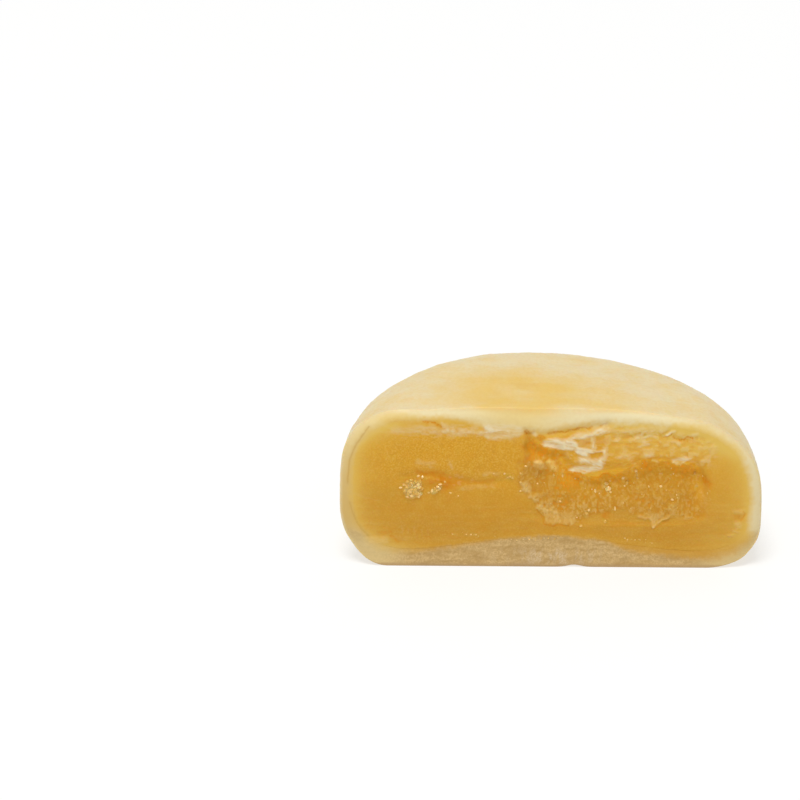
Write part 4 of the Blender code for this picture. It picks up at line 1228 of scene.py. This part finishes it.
def bead_material():
    g = Graph("bead_finish")
    fine = g.speckle(0.3, 2.0)
    gold = g.mix(fine, BEAD_GOLD, PASTE_LIGHT)
    return g.finish(
        Base_Color=g.mix(g.ramp(g.look("tone"), 0.15, 0.65), BEAD_COLOUR, gold),
        Roughness=g.ramp(fine, 0.3, 0.7, 0.12, 0.30),
        Coat_Weight=0.45,
        Coat_Roughness=0.06,
        Specular_Tint=(1.0, 0.85, 0.60, 1.0),
        Subsurface_Weight=0.6,
        Subsurface_Radius=(1.0, 0.7, 0.4),
        Subsurface_Scale=0.12 * METRES,
        Specular_IOR_Level=0.6,
    )


def floor_material():
    g = Graph("floor_finish")
    return g.finish(
        Base_Color=(0.38, 0.38, 0.378),
        Roughness=0.9,
        Specular_IOR_Level=0.05,
        Emission_Color=(1.0, 1.0, 0.995, 1.0),
        Emission_Strength=0.59,
    )


# ---- Light, floor and camera ----
CAMERA_DISTANCE = 458.4
CAMERA_ELEVATION = 26.86
CAMERA_TURN = -0.825
PICTURE_SCALE = 6.97  # picture points for one millimetre at the cut
PICTURE_SIDE = 800
PICTURE_SPOT = (549.6, 566.6)  # where the foot of the cut's middle stands in the picture
SENSOR = 36.0
FLOOR_HALF = 3.0
FLOOR_DROP = 0.00002
NEAREST_SEEN = 0.01
SKY_STRENGTH = 0.56
KEY_PLACE = (-0.20, -0.55, 1.90)
KEY_SIDE = 0.7
KEY_POWER = 24.0


def add_floor():
    half = FLOOR_HALF
    mesh = bpy.data.meshes.new("floor")
    corners = [(-half, -half), (half, -half), (half, half), (-half, half)]
    mesh.from_pydata([(x, y, -FLOOR_DROP) for x, y in corners], [], [(0, 1, 2, 3)])
    floor = add_object("floor", mesh)
    mesh.materials.append(floor_material())


def add_light(name, place, side, power):
    light = bpy.data.lights.new(name, "AREA")
    light.energy = power
    light.size = side
    lamp = add_object(name, light)
    lamp.location = place
    lamp.rotation_euler = (-Vector(place)).to_track_quat("-Z", "Y").to_euler()


def add_world():
    world = bpy.data.worlds.new("studio")
    world.use_nodes = True
    background = world.node_tree.nodes["Background"]
    background.inputs["Color"].default_value = (1.0, 1.0, 1.0, 1.0)
    background.inputs["Strength"].default_value = SKY_STRENGTH
    bpy.context.scene.world = world


def add_camera():
    turn, tilt = np.radians(CAMERA_TURN), np.radians(CAMERA_ELEVATION)
    right = np.array([np.cos(turn), -np.sin(turn), 0.0])
    ahead = np.array([np.sin(turn) * np.cos(tilt), np.cos(turn) * np.cos(tilt), -np.sin(tilt)])
    up = np.array([np.sin(turn) * np.sin(tilt), np.cos(turn) * np.sin(tilt), np.cos(tilt)])
    across = (PICTURE_SPOT[0] - PICTURE_SIDE / 2) / PICTURE_SCALE
    above = (PICTURE_SIDE / 2 - PICTURE_SPOT[1]) / PICTURE_SCALE
    foot = np.array([0.0, -ORIGIN_Y, 0.0])
    place = (foot - right * across - up * above - ahead * CAMERA_DISTANCE) * METRES
    data = bpy.data.cameras.new("camera")
    data.sensor_width = SENSOR
    data.lens = SENSOR * PICTURE_SCALE * CAMERA_DISTANCE / PICTURE_SIDE
    data.clip_start = NEAREST_SEEN
    camera = add_object("camera", data)
    axes = Matrix((right, up, -ahead)).transposed().to_4x4()
    camera.matrix_world = Matrix.Translation(Vector(place)) @ axes
    bpy.context.scene.camera = camera


def main():
    skin, paste, beads = make_skin(), make_paste(), make_beads()
    skin.data.materials.append(skin_material())
    paste.data.materials.append(paste_material())
    beads.data.materials.append(bead_material())
    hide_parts("dough_skin")
    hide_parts("durian_filling")
    for piece, slot in ((skin, "baked_dough"), (paste, "durian_paste"), (beads, "durian_paste")):
        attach(piece, "root")
    add_floor()
    add_world()
    add_light("key", KEY_PLACE, KEY_SIDE, KEY_POWER)
    add_camera()
    bpy.context.scene.view_settings.view_transform = "Standard"


main()
